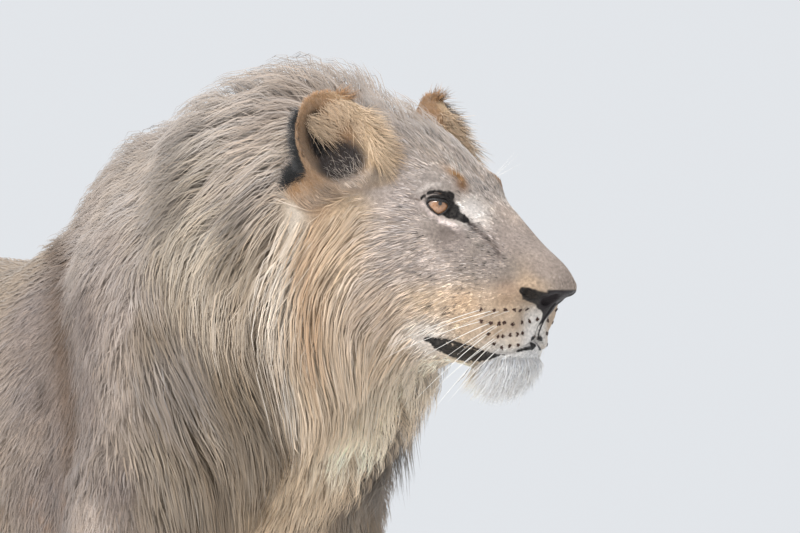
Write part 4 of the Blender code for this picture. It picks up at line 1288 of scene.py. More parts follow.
def wear_group():
    """Uneven colour and shine that every natural surface of the lion shares."""
    group = bpy.data.node_groups.get("natural_variation")
    if group:
        return group
    inputs = {"Color": (0.5, 0.5, 0.5, 1), "Scale": 60.0, "Amount": 0.12, "Roughness": 0.6}
    group, given = new_group("natural_variation", inputs, ("Color", "Roughness", "Height"))
    where = node(group, "TexCoord").outputs["Object"]
    speckle = node(group, "TexNoise", {"Vector": where, "Scale": given["Scale"], "Detail": 6}).outputs["Fac"]
    twice = node(group, "Math", {0: given["Amount"], 1: 2.0}, operation="MULTIPLY").outputs[0]
    rest = node(group, "Math", {0: 1.0, 1: given["Amount"]}, operation="SUBTRACT").outputs[0]
    spread = node(group, "Math", {0: speckle, 1: twice, 2: rest}, operation="MULTIPLY_ADD").outputs[0]
    shine = node(group, "Math", {0: given["Roughness"], 1: spread}, operation="MULTIPLY").outputs[0]
    tint = scaled(group, given["Color"], spread)
    return put_out(group, {"Color": tint, "Roughness": shine, "Height": speckle})


def fur_group():
    """Fine streaks along the lie of the hair."""
    group, given = new_group("fur_grain", {"Scale": 700.0, "Stretch": 0.88}, ("Streaks", "Shade"))
    where = node(group, "TexCoord").outputs["Object"]
    lie = node(group, "Attribute", attribute_name="lie").outputs["Vector"]
    along = node(group, "VectorMath", {0: where, 1: lie}, operation="DOT_PRODUCT").outputs["Value"]
    share = node(group, "Math", {0: along, 1: given["Stretch"]}, operation="MULTIPLY").outputs[0]
    back = scaled(group, lie, share)
    pressed = node(group, "VectorMath", {0: where, 1: back}, operation="SUBTRACT").outputs[0]
    streaks = node(group, "TexNoise", {"Vector": pressed, "Scale": given["Scale"], "Detail": 3}).outputs["Fac"]
    return put_out(group, {"Streaks": streaks, "Shade": stretched(group, streaks, 0.58, 1.30)})


def new_material(name):
    """A material with its tree and its Principled shader's inputs."""
    material = bpy.data.materials.new(name)
    material.use_nodes = True
    return material, material.node_tree, material.node_tree.nodes["Principled BSDF"].inputs


def varied(tree, color, scale, amount, roughness):
    """The shared variation's outputs, from a colour socket or a plain colour."""
    color = (*color, 1) if isinstance(color, tuple) else color
    feeds = {"Color": color, "Scale": scale, "Amount": amount, "Roughness": roughness}
    return node(tree, "Group", feeds, node_tree=wear_group()).outputs


def surfaced(tree, shader, look, **sockets):
    """Colour and roughness from the variation, and plain values on the shader's other sockets."""
    feed(tree, shader["Base Color"], look["Color"])
    feed(tree, shader["Roughness"], look["Roughness"])
    for name, value in sockets.items():
        shader[name.replace("_", " ")].default_value = value


def bumped(tree, shader, height, strength, distance):
    bump = node(tree, "Bump", {"Strength": strength, "Distance": distance, "Height": height})
    feed(tree, shader["Normal"], bump.outputs["Normal"])


def skin_material():
    """Short fur over most of it; black leather, glossier, where the skin is bare."""
    material, tree, shader = new_material("lion_skin")
    paint = node(tree, "Attribute", attribute_name="coat_colour").outputs["Color"]
    bare = node(tree, "Attribute", attribute_name="bare").outputs["Fac"]
    grain = node(tree, "Group", node_tree=fur_group()).outputs
    furry = varied(tree, scaled(tree, paint, grain["Shade"]), 330.0, 0.40, 0.85)
    leather = varied(tree, paint, 420.0, 0.25, 0.34)
    look = {
        socket: blended(tree, kind, bare, furry[socket], leather[socket])
        for socket, kind in (("Color", "RGBA"), ("Roughness", "FLOAT"))
    }
    surfaced(tree, shader, look, Specular_IOR_Level=0.20)
    where = node(tree, "TexCoord").outputs["Object"]
    pebble = node(tree, "TexVoronoi", {"Vector": where, "Scale": 900}).outputs["Distance"]
    bumped(tree, shader, blended(tree, "FLOAT", bare, grain["Streaks"], pebble), 0.80, 0.0015)
    return material


def coat_material():
    """The hairs' own colour, a little different from place to place."""
    material = bpy.data.materials.get("lion_coat")
    if not material:
        material, tree, shader = new_material("lion_coat")
        paint = node(tree, "Attribute", attribute_name="coat_colour").outputs["Color"]
        look = varied(tree, paint, 140.0, 0.10, 0.62)
        surfaced(tree, shader, look, Specular_IOR_Level=0.3, Sheen_Weight=0.15, Sheen_Roughness=0.5)
    return material


def eye_material(settings):
    """Amber iris with fibres and a dark edge, a small round pupil and a brown white."""
    material, tree, shader = new_material("lion_eye")
    gaze = node(tree, "Attribute", attribute_name="gaze").outputs["Vector"]
    away = node(tree, "SeparateXYZ", {0: gaze}).outputs["Z"]
    ring = node(tree, "ValToRGB", {"Fac": away})
    pupil, amber = settings.pupil, linear([255 * c for c in settings.iris_colour])
    black, edge = (0.004, 0.004, 0.004), (0.018, 0.012, 0.010)
    stops = (  # how far from the middle of the eye, colour
        (0.0, black), (pupil, black), (pupil + 0.02, amber * 0.55), (0.30, amber * 1.15), (0.52, amber),
        (0.62, amber * 0.42), (0.67, edge), (0.80, (0.10, 0.065, 0.05)), (1.0, (0.06, 0.03, 0.025)),
    )
    band = ring.color_ramp.elements
    while len(band) < len(stops):
        band.new(0.5)
    for element, (at, colour) in zip(band, stops):
        element.position = at
        element.color = (*colour, 1)
    wide = node(tree, "VectorMath", {0: gaze, 1: (14, 14, 3)}, operation="MULTIPLY").outputs[0]
    fibres = node(tree, "TexNoise", {"Vector": wide, "Scale": 1.0, "Detail": 2}).outputs["Fac"]
    tinted = scaled(tree, ring.outputs["Color"], stretched(tree, fibres, 0.65, 1.3))
    look = varied(tree, tinted, 300.0, 0.06, 0.12)
    surfaced(tree, shader, look, Coat_Weight=1.0, Coat_IOR=1.6, Coat_Roughness=0.02)
    return material


def plain_material(name, color, scale, amount, roughness, height=0.0):
    """One colour with the shared variation, and a bump where height isn't 0."""
    material, tree, shader = new_material(name)
    look = varied(tree, color, scale, amount, roughness)
    surfaced(tree, shader, look)
    if height:
        bumped(tree, shader, look["Height"], 0.5, height)
    return material


# ---- small swept pieces ----
def swept(bm, line, radii, sides=6, closed=False):
    """A round tube through the points of a line, as bridged circles; open ends are capped."""
    line = [Vector(p) for p in line]
    count, rings = len(line), []
    for k, point in enumerate(line):
        ahead = line[(k + 1) % count] if closed or k + 1 < count else point
        way = ahead - (line[k - 1] if closed or k else point)
        turn = way.to_track_quat("Z", "Y" if abs(way.normalized().z) < 0.95 else "X").to_matrix().to_4x4()
        place = Matrix.Translation(point) @ turn @ Matrix.Diagonal((radii[k], radii[k], 1, 1))
        made = bmesh.ops.create_circle(bm, cap_ends=False, segments=sides, radius=1.0, matrix=place)
        rings.append(made["verts"])
    edges = [{e for v in ring for e in v.link_edges} for ring in rings]
    for k in range(count if closed else count - 1):
        bmesh.ops.bridge_loops(bm, edges=list(edges[k] | edges[(k + 1) % count]))
    if not closed:
        for ring in (rings[0], rings[-1]):
            bmesh.ops.contextual_create(bm, geom=ring)


def finished(name, bm, material):
    """A new piece from a bmesh, its faces outwards, riding on the body."""
    bmesh.ops.remove_doubles(bm, verts=bm.verts, dist=0.000005)
    bmesh.ops.recalc_face_normals(bm, faces=bm.faces)
    for face in bm.faces:
        face.smooth = True
    mesh = bpy.data.meshes.new(name)
    bm.to_mesh(mesh)
    bm.free()
    mesh.materials.append(material)
    obj = shown(name, mesh)
    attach(obj, "root")
    return obj


# ---- what a user would change ----
class LionSkinSettings(bpy.types.PropertyGroup):
    voxel: bpy.props.FloatProperty(
        name="Detail", description="Size of the skin's first faces",
        default=0.005, min=0.003, max=0.02, unit="LENGTH",
    )
    faces: bpy.props.IntProperty(
        name="Body faces", description="Triangles kept before the face is refined",
        default=98000, min=20000, max=150000,
    )
    evening: bpy.props.IntProperty(
        name="Evening", description="Passes that take out the solids' facets",
        default=14, min=0, max=60,
    )


class LionCoatSettings(bpy.types.PropertyGroup):
    seed: bpy.props.IntProperty(
        name="Seed", description="Start of the coat's random numbers",
        default=7,
    )
    mane_locks: bpy.props.IntProperty(
        name="Mane locks", description="Locks over neck, crest, throat and ruff",
        default=5000, min=100, max=12000,
    )
    mane_hairs: bpy.props.IntProperty(
        name="Hairs to a lock", description="Fine hairs in each lock of the mane",
        default=8, min=1, max=20,
    )
    under_hairs: bpy.props.IntProperty(
        name="Under hairs", description="Broad hairs that fill the mane from below",
        default=6000, min=100, max=30000,
    )
    face_hairs: bpy.props.IntProperty(
        name="Face hairs", description="Short tufts on the face",
        default=25000, min=1000, max=60000,
    )
    body_hairs: bpy.props.IntProperty(
        name="Body hairs", description="Short tufts on the body and legs",
        default=27000, min=1000, max=80000,
    )
    hair_width: bpy.props.FloatProperty(
        name="Hair width", description="Width of a fine mane hair at its thickest",
        default=0.00086, min=0.0004, max=0.006, unit="LENGTH",
    )


class LionFaceSettings(bpy.types.PropertyGroup):
    iris_colour: bpy.props.FloatVectorProperty(
        name="Iris", description="Colour of the iris",
        subtype="COLOR", size=3, default=(0.57, 0.41, 0.29), min=0, max=1,
    )
    pupil: bpy.props.FloatProperty(
        name="Pupil", description="Radius of the pupil as a share of the eyeball's",
        default=0.10, min=0.02, max=0.4,
    )
    whisker_length: bpy.props.FloatProperty(
        name="Whisker length", description="Length of the longest whisker",
        default=0.13, min=0.02, max=0.3, unit="LENGTH",
    )
    whisker_radius: bpy.props.FloatProperty(
        name="Whisker radius", description="Radius of a whisker at its root",
        default=0.00042, min=0.0002, max=0.002, unit="LENGTH",
    )


class LionStageSettings(bpy.types.PropertyGroup):
    floor_radius: bpy.props.FloatProperty(
        name="Floor radius", description="Radius of the plain floor",
        default=9.0, min=2, max=40, unit="LENGTH",
    )
    floor_colour: bpy.props.FloatVectorProperty(
        name="Floor", description="Colour of the floor",
        subtype="COLOR", size=3, default=(0.80, 0.79, 0.77), min=0, max=1,
    )
    key_power: bpy.props.FloatProperty(
        name="Main light", description="Power of the main soft light",
        default=150.0, min=0, unit="POWER",
    )
    view_distance: bpy.props.FloatProperty(
        name="Camera distance", description="From the camera to the head",
        default=14.0, min=2, max=60, unit="LENGTH",
    )


# ---- pieces ----
SKIN_TRIANGLES = 200000  # fewer than this in the skin


class LION_OT_skin(bpy.types.Operator):
    """One skin for the whole lion, inside the solids by the depth of the coat"""

    bl_idname = "lion.skin"
    bl_label = "Skin"

    def execute(self, context):
        settings = context.scene.lion_skin
        obj = joined_flesh()
        with_modifier(obj, "REMESH", mode="VOXEL", voxel_size=settings.voxel, adaptivity=0)
        evened(obj, settings.evening)
        outline = ([tuple(v.co) for v in obj.data.vertices], [tuple(p.vertices) for p in obj.data.polygons])
        sunk(obj)
        thinned_body(obj, settings.faces)
        refined(obj, on_face)
        refined(obj, on_features)
        sculpted(obj)
        with_modifier(obj, "TRIANGULATE", min_vertices=4)
        obj.data.polygons.foreach_set("use_smooth", np.ones(len(obj.data.polygons), bool))
        unwrapped(obj)
        coat_facts(obj, outline)
        obj.data.materials.clear()
        obj.data.materials.append(skin_material())
        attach(obj, "root")
        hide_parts(*FLESH)
        if len(obj.data.polygons) >= SKIN_TRIANGLES:
            raise RuntimeError(f"the skin has {len(obj.data.polygons)} triangles; keep fewer body faces")
        return {"FINISHED"}


def eyeball(side, ball, material):
    """One eyeball, its clear front a little out; gaze says how far each point is from the front's middle."""
    bm = bmesh.new()
    bmesh.ops.create_uvsphere(bm, u_segments=64, v_segments=48, radius=1.0)
    gaze = Vector((np.array(GAZE) * (1, SIDES[side], 1)) @ HEAD_AXES.T)
    turn = gaze.to_track_quat("Z", "Y").to_matrix().to_4x4()
    local = []
    for vert in bm.verts:
        at = vert.co.copy()
        front, off = at.z > 0, math.hypot(at.x, at.y)
        local.append((at.x, at.y, off if front else 1.0))
        if front:
            vert.co = at * (1 + CLEAR_FRONT[0] * max(0.0, 1 - (off / CLEAR_FRONT[1]) ** 2))
    place = Matrix.Translation(middle(f"eye_{side}")) @ turn @ Matrix.Scale(ball * 0.985, 4)
    bmesh.ops.transform(bm, verts=bm.verts, matrix=place)
    obj = finished(f"eyeball_{side}", bm, material)
    keep_attribute(obj.data, "gaze", local)
    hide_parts(f"eye_{side}")


class LION_OT_eyes(bpy.types.Operator):
    """Both eyeballs, and the dark rims of the lids over them"""

    bl_idname = "lion.eyes"
    bl_label = "Eyes"

    def execute(self, context):
        ball = lid_size()
        glassy = eye_material(context.scene.lion_face)
        dark = plain_material("lid_rim", (0.012, 0.010, 0.010), 600.0, 0.3, 0.38, 0.0003)
        for side in SIDES:
            eyeball(side, ball, glassy)
            bm = bmesh.new()
            line = lid_rim(side, RIM_POINTS, ball + 0.0012)
            centre, rows = eye_frame(side)
            height = ((line - centre) @ rows.T)[:, 1]
            radii = 0.0007 + 0.0010 * ramp(-0.001, 0.005, height)  # thicker above than below
            swept(bm, from_head(line), radii, sides=10, closed=True)
            finished(f"lid_rim_{side}", bm, dark)
        return {"FINISHED"}


def paint_near(points):
    """The skin's colour nearest to each point, so a hair shows the markings and painted shade of the skin that
    it lies over.
    """
    skin = skin_facts()
    if "tree" not in _skin:
        _skin["tree"] = nearest_of(skin.at)
    return skin.paint[np.array([_skin["tree"].find(p)[1] for p in points])]


def coat_colours(paint, tip_paint, rng, spread, dark, light):
    """Root and tip colours, each hair a little different from the next."""
    shade = (1 + rng.normal(0, spread, len(paint)))[:, None]
    shade = shade * (1 + rng.normal(0, 0.03, len(paint))[:, None] * (1.0, 0.15, -1.0))
    return np.clip(paint * shade * dark, 0.003, 0.92), np.clip(tip_paint * shade * light, 0.003, 0.95)


def grained(roots, size, amount):
    """Fine light and dark specks that neighbouring hairs share."""
    fleck = mottled(roots.at, size, 9) + 0.6 * mottled(roots.at, size * 2.6, 10)
    return (1 + amount * fleck)[:, None]


def short_hair():
    """How much of each point of the skin carries short hair: 1 where it is short, 0 in the mane."""
    skin = skin_facts()
    return ramp(0.034, 0.020, skin.hair) * ramp(0.30, 0.10, skin.bare)


def at_ears():
    """1 on the ears proper and 0 elsewhere."""
    skin = skin_facts()
    out = np.zeros(len(skin.at))
    for side in SIDES:
        local, rim, _, _ = ear_place(skin.at, side)
        out = np.maximum(out, near_ear(skin.at) * ramp(1.30, 1.15, rim) * ramp(-0.062, -0.048, local[:, 2]))
    return out


def on_head():
    """True for the points of the skin whose short hair belongs to the face coat."""
    head = skin_facts().head
    return (head[:, 0] > -0.30) & (head[:, 2] > -0.13)


def in_tuft(points):
    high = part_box("tail_tuft")[1]
    return (points[:, 0] < high[0] + 0.01) & (points[:, 2] < high[2] + 0.01)


class LION_OT_face_coat(bpy.types.Operator):
    """Short tufts on the face, smallest on the nose and round the eyes"""

    bl_idname = "lion.face_coat"
    bl_label = "Face coat"

    def execute(self, context):
        settings, skin = context.scene.lion_coat, skin_facts()
        rng = np.random.default_rng(settings.seed)
        fine = np.clip(0.013 / np.maximum(skin.hair, 0.004), 0.7, 2.6)
        roots = sown(short_hair() * on_head() * (1 - at_ears()) * fine, settings.face_hairs, settings.seed)
        length = roots.hair * rng.uniform(0.7, 1.2, roots.count)
        left = on_left(to_head(roots.at))
        room = np.maximum(np.linalg.norm(left - (-0.140, 0.061, 0.094), axis=1) - 0.012, 0)  # as far as the eye
        for line, start, end, _ in BARE_LINES:
            away, along = near_line(left, mm(line))
            room = np.minimum(room, away - (mm(start) + (mm(end) - mm(start)) * along))
        length = np.minimum(length, np.maximum(0.0030, 0.0022 + 1.1 * room))
        stand = np.maximum(np.minimum(roots.room * 0.55, length * 0.22), 0.0007)
        paths, ups = short_paths(roots, length, stand * rng.uniform(0.6, 1.2, roots.count), 2, rng, 0.14)
        amount = 0.95 * np.interp(roots.hair, (0.007, 0.016), (1.7, 0.75))
        grain = grained(roots, 0.0026, amount)
        shades = coat_colours(roots.paint * grain, paint_near(paths[:, -1]) * grain, rng, 0.10, 0.88, 1.05)
        width = np.clip(0.10 * length, 0.0006, 0.0011)
        coat_pieces("fur_face", paths, ups, width, shades, roots.uv, flat=0.35, soft=0.60)
        return {"FINISHED"}


def at_shoulder(points):
    """1 on the shoulders, where the short coat is densest, and 0 behind them and on the legs."""
    return ramp(0.10, 0.24, points[:, 0]) * ramp(0.55, 0.70, points[:, 2])


class LION_OT_body_coat(bpy.types.Operator):
    """Short tufts over the body, legs, feet and tail, closest on the shoulders"""

    bl_idname = "lion.body_coat"
    bl_label = "Body coat"

    def execute(self, context):
        settings, skin = context.scene.lion_coat, skin_facts()
        rng = np.random.default_rng(settings.seed + 1)
        close = 1 + 3.2 * at_shoulder(skin.at) + 1.5 * ramp(0.12, 0.06, skin.at[:, 2])
        on = short_hair() * ~on_head() * (1 - at_ears()) * ~in_tuft(skin.at)
        roots = sown(on * close, settings.body_hairs, settings.seed + 1)
        length = roots.hair * rng.uniform(0.75, 1.3, roots.count)
        stand = np.maximum(roots.room * 0.5, 0.0014) * rng.uniform(0.5, 1.2, roots.count)
        paths, ups = short_paths(roots, length, stand, 2, rng, 0.20)
        grain = grained(roots, 0.008, 0.30)
        shades = coat_colours(roots.paint * grain, paint_near(paths[:, -1]) * grain, rng, 0.06, 0.90, 1.06)
        width = np.clip(0.12 * length, 0.0010, 0.0024) * (1 - 0.55 * at_shoulder(roots.at))
        coat_pieces("fur_body", paths, ups, width, shades, roots.uv, flat=0.35, soft=0.90)
        return {"FINISHED"}


def clear_of_ears(paths):
    """True for the hairs that leave the outer edge of the ears free."""
    keep = np.ones(len(paths), bool)
    last = paths.shape[1] - 1
    for side in SIDES:
        for place in np.arange(0.5, last + 0.01, 0.5):
            k = min(int(place), last - 1)
            points = paths[:, k] + (paths[:, k + 1] - paths[:, k]) * (place - k)
            local, rim, a, b = ear_place(points, side)
            level = (local[:, 0] > -0.045) & (local[:, 0] < 0.05)
            keep &= ~((rim < 1.42) & (a > 0.1) & (abs(b) < 0.75) & level)
    return keep


BIG_LOCKS = 760  # places that the locks are drawn towards
LONG_STEPS = 3  # stretches in each long hair


def crown_of(points):
    """1 at the top of the head behind the brow, where the mane stands highest."""
    head = to_head(points)
    back = np.exp(-(((head[:, 0] + 0.245) / 0.045) ** 2))
    return back * ramp(0.08, 0.04, abs(head[:, 1])) * ramp(0.14, 0.18, head[:, 2])


class LION_OT_mane(bpy.types.Operator):
    """The mane's locks and hairs over neck, crest, throat, ruff and beard"""

    bl_idname = "lion.mane"
    bl_label = "Mane"

    def execute(self, context):
        settings, skin = context.scene.lion_coat, skin_facts()
        long = ramp(0.021, 0.032, skin.hair) * (skin.bare < 0.2) * (1 - at_ears()) * ~in_tuft(skin.at)
        self.under_coat(settings, long)
        rng = np.random.default_rng(settings.seed + 3)
        big = sown(long * ramp(0.04, 0.08, skin.hair), BIG_LOCKS, settings.seed + 11)
        big_paths, _ = long_paths(big, big.hair * 1.02, np.full(big.count, 0.85), LONG_STEPS)
        big_shade = 1 + rng.normal(0, 0.09, big.count)
        tight = np.clip(0.070 / np.maximum(skin.hair, 0.02), 0.8, 3.0)
        roots = sown(long * tight, settings.mane_locks, settings.seed + 3)
        length = roots.hair * rng.uniform(0.70, 1.12, roots.count)
        level = np.clip(rng.normal(0.80, 0.14, roots.count), 0.3, 1.05) * (1 + 1.1 * crown_of(roots.at))
        paths, ups = long_paths(roots, length, level, LONG_STEPS)
        # each lock is drawn towards the big lock that it grows beside, and shares its shade
        tree = nearest_of(big.at)
        found = [tree.find(p) for p in roots.at]
        mine = np.array([f[1] for f in found])
        close = ramp(0.055, 0.020, np.array([f[2] for f in found])) * ramp(0.045, 0.095, roots.hair)
        t = np.linspace(0, 1, LONG_STEPS + 1)[None, :, None]
        draw = 0.66 * close * (1 - 0.72 * ramp(0.60, 0.67, roots.at[:, 0]))
        offset = (roots.at - big.at[mine])[:, None]
        paths = paths + draw[:, None, None] * t**1.3 * (big_paths[mine] + 0.35 * offset - paths)
        streak = mottled(roots.at * (1.0, 1.0, 0.35), 0.016, 31) * ramp(0.03, 0.07, roots.hair)
        lock = (1 + rng.normal(0, 0.05, roots.count) + 0.16 * streak) * (1 + (big_shade[mine] - 1) * close)
        n = settings.mane_hairs
        paths, ups = clustered(paths, ups, n, 0.0030 + 0.075 * roots.hair, rng, gather=0.42, frizz=0.06)
        keep = clear_of_ears(paths)
        paint = np.tile(roots.paint * lock[:, None], (n, 1))[keep]
        shades = coat_colours(paint, paint, rng, 0.045, 0.96, 1.05)
        longer = np.tile(ramp(0.02, 0.08, roots.hair), n)[keep]
        width = settings.hair_width * (0.72 + 0.42 * longer) * rng.uniform(0.8, 1.25, len(paint))
        uv = np.tile(roots.uv, (n, 1))[keep]
        coat_pieces("mane", paths[keep], ups[keep], width, shades, uv, slot="mane", soft=0.96)
        return {"FINISHED"}

    def under_coat(self, settings, long):
        """Broad short hairs that fill the mane from below, painted lighter to lift the shade in its gaps."""
        rng = np.random.default_rng(settings.seed + 2)
        roots = sown(long, settings.under_hairs, settings.seed + 2)
        length = roots.hair * rng.uniform(0.6, 0.95, roots.count)
        level = rng.uniform(0.10, 0.45, roots.count)
        paths, ups = long_paths(roots, length, level, LONG_STEPS)
        # painted light: the under-hairs are lighter than the skin they grow from, to lift the shade in the gaps
        # between the locks
        shades = coat_colours(roots.paint, roots.paint, rng, 0.05, 1.06, 1.12)
        keep = clear_of_ears(paths)
        coat_pieces("mane_under", paths, ups, 0.0024, shades, roots.uv, "mane", flat=0.25, soft=0.96, keep=keep)


LOOSE, HOLLOW, RIM = ((212, 184, 154), 0.72), ((150, 138, 128), 0.9), ((166, 124, 84), 0.9)  # colour, its share
# Where on the ear (outer edge, top), how far round, which way (out of it, outwards, up), length, droop,
# how many, colour
EAR_TUFTS = (
    ((-0.95, 0.05), (0.22, 0.66), (0.25, -1.00, -0.40), 0.028, 0.25, 900, LOOSE),
    ((0.26, 0.42), (0.20, 0.16), (0.50, -0.85, -0.85), 0.036, 0.12, 360, LOOSE),
    ((-0.24, 0.56), (0.36, 0.16), (0.50, -0.40, -0.90), 0.028, 0.10, 460, LOOSE),
    ((-0.62, 0.22), (0.22, 0.26), (0.50, -0.55, -0.60), 0.028, 0.15, 460, LOOSE),
    ((-0.74, -0.28), (0.16, 0.34), (0.40, -0.35, -0.85), 0.034, 0.20, 360, LOOSE),
    ((-0.05, -0.36), (0.50, 0.32), (0.35, -0.30, -0.80), 0.019, 0.20, 420, HOLLOW),
    ((-0.55, 0.74), (0.24, 0.16), (0.40, -0.80, 0.25), 0.022, 0.10, 220, RIM),
    ((0.0, 0.88), (0.60, 0.16), (0.10, -0.10, 1.00), 0.007, 0.10, 400, RIM),
)


class LION_OT_ears(bpy.types.Operator):
    """Fur of the ears: short on their backs and rims, long and loose across the front"""

    bl_idname = "lion.ears"
    bl_label = "Ears"

    def execute(self, context):
        settings = context.scene.lion_coat
        rng = np.random.default_rng(settings.seed + 4)
        roots = sown(at_ears(), 5000, settings.seed + 4)
        length = rng.uniform(0.005, 0.009, roots.count)
        paths, ups = short_paths(roots, length, np.full(roots.count, 0.0018), 2, rng, 0.22)
        shades = coat_colours(roots.paint, roots.paint, rng, 0.08, 0.86, 1.10)
        coat_pieces("fur_ears", paths, ups, 0.0009, shades, roots.uv, slot="ear_fur", flat=0.4)
        for side in SIDES:
            self.fluff(settings, side, rng)
        return {"FINISHED"}

    def fluff(self, settings, side, rng):
        """The loose tufts of one ear and the black fringe along its outer edge."""
        skin, s = skin_facts(), SIDES[side]
        local, rim, a, b = ear_place(skin.at, side)
        _, rows = ear_frame(side)
        on = near_ear(skin.at)
        parts = []

        def tufts(weight, way, long, droop, count, colour, share, seed):
            roots = sown(weight, count, settings.seed + seed + s)
            lean = np.array(way) * (1, s, 1) + rng.normal(0, 0.34, (roots.count, 3))
            length = long * rng.uniform(0.35, 1.15, roots.count)
            paths = thrown_paths(roots, unit(unit(lean) @ rows @ HEAD_AXES.T), length, (0, 0, -droop))
            ups = np.broadcast_to(unit(roots.normal + (0, 0, 0.4))[:, None], paths.shape)
            parts.append((paths, ups, roots.paint * (1 - share) + linear(colour) * share, roots.uv))

        for k, (at, half, way, long, droop, count, (colour, share)) in enumerate(EAR_TUFTS):
            gap = np.hypot((a - at[0]) / half[0], (b - at[1]) / half[1])
            weight = on * ramp(1.1, 0.6, gap) * ramp(-0.010, 0.0, local[:, 0])
            tufts(weight, way, long, droop, count, colour, share, 20 + k)
        fringe = on * ramp(0.72, 0.90, rim) * ramp(1.3, 1.15, rim) * ramp(0.25, 0.5, a)
        fringe = fringe * ramp(-0.30, -0.18, b) * ramp(0.78, 0.66, b) * (local[:, 0] < 0.003)
        tufts(fringe, (-0.20, 1.0, 0.35), 0.015, 0.05, 1500, BLACK, 1.0, 30)
        paths, ups, paint, uv = (np.concatenate(part) for part in zip(*parts))
        shades = coat_colours(paint, paint, rng, 0.16, 0.72, 1.08)
        coat_pieces(f"ear_fluff_{side}", paths, ups, 0.00055, shades, uv, slot="ear_fur")


class LION_OT_chin(bpy.types.Operator):
    """The white tuft under the chin and the pale hair along the lower lip"""

    bl_idname = "lion.chin"
    bl_label = "Chin"

    def execute(self, context):
        settings, skin = context.scene.lion_coat, skin_facts()
        rng = np.random.default_rng(settings.seed + 6)
        x, y, z = skin.head.T
        on = ramp(-0.120, -0.098, x) * ramp(-0.0735, -0.0765, z) * ramp(0.048, 0.040, abs(y))
        on = on * ramp(0.3, 0.1, skin.bare)
        roots = sown(on, 3600, settings.seed + 6)
        x, y, _ = to_head(roots.at).T
        forwards = np.interp(x, (-0.12, -0.085, -0.05), (-0.55, -0.20, 0.22))
        way = np.column_stack([forwards, y * 7, np.full(roots.count, -1.0)])
        way = way + rng.normal(0, 0.20, (roots.count, 3))
        length = (0.014 + 0.012 * ramp(-0.050, -0.085, x)) * rng.uniform(0.40, 1.25, roots.count)
        paths = thrown_paths(roots, unit(way) @ HEAD_AXES.T, length, HEAD_AXES @ np.array((-0.30, 0, -0.1)))
        t = np.linspace(0, 1, paths.shape[1])[None, :, None]
        paths = paths + roots.normal[:, None] * 0.004 * np.sin(t * math.pi * 0.75)
        ups = np.broadcast_to(roots.normal[:, None], paths.shape)
        white = ramp(-0.115, -0.095, x)[:, None]
        paint = linear((240, 238, 238)) * white + roots.paint * (1 - white)
        shades = coat_colours(paint, paint, rng, 0.16, 0.64, 1.12)
        coat_pieces("chin_tuft", paths, ups, 0.0008, shades, roots.uv, slot="chin_fur")
        return {"FINISHED"}


TUFT_HAIRS = 5  # fine hairs in each lock of the tail's tuft


class LION_OT_tail_tuft(bpy.types.Operator):
    """The dark tuft at the end of the tail"""

    bl_idname = "lion.tail_tuft"
    bl_label = "Tail tuft"

    def execute(self, context):
        settings, skin = context.scene.lion_coat, skin_facts()
        rng = np.random.default_rng(settings.seed + 8)
        roots = sown(in_tuft(skin.at), 700, settings.seed + 8)
        low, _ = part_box("tail_tuft")
        drop = np.maximum(roots.at[:, 2] - low[2] - 0.004, 0.012)  # the hairs end above the tuft's lowest point
        length = np.minimum(roots.hair * rng.uniform(0.7, 1.1, roots.count), drop)
        level = np.clip(rng.normal(0.7, 0.2, roots.count), 0.2, 1.0)
        paths, ups = long_paths(roots, length, level, LONG_STEPS)
        paths, ups = clustered(paths, ups, TUFT_HAIRS, 0.002 + 0.05 * roots.hair, rng, gather=0.6, frizz=0.08)
        paint, uv = (np.tile(values, (TUFT_HAIRS, 1)) for values in (roots.paint, roots.uv))
        shades = coat_colours(paint, paint, rng, 0.12, 0.55, 1.2)
        coat_pieces("tail_tuft_hair", paths, ups, 0.0018, shades, uv, slot="tuft_fur")
        return {"FINISHED"}


# In the head's frame, left side, in millimetres: each row's line from its first whisker to its last; how many
WHISKER_ROWS = (
    (((-47.9, 27, -22), (-49.6, 40.6, -21.1), (-56.4, 48, -22.2), (-66.5, 55.4, -22.2), (-85.4, 62, -20.8)), 6),
    (((-44.4, 10.6, -32.2), (-52.9, 23.8, -34.7), (-60.4, 47.9, -35.6), (-68.3, 54.1, -37.5),
      (-84.6, 61.7, -34.7)), 8),
    (((-53.9, 24.8, -47.2), (-58.2, 34.7, -48.6), (-63.5, 42, -50), (-69.2, 48.6, -51.7), (-79, 57, -48)), 6),
    (((-56.2, 30, -60.6), (-62.9, 37.6, -62.5), (-70, 42, -63.9), (-76.6, 49.8, -59.7)), 4),
)
WHISKER_STEPS = 7  # stretches in each whisker
ROOT_HAIRS = 20  # dark hairs round each whisker's root
BROW_HAIRS = ((-128, 36, 126), (-131, 40, 127), (-134, 44, 128))


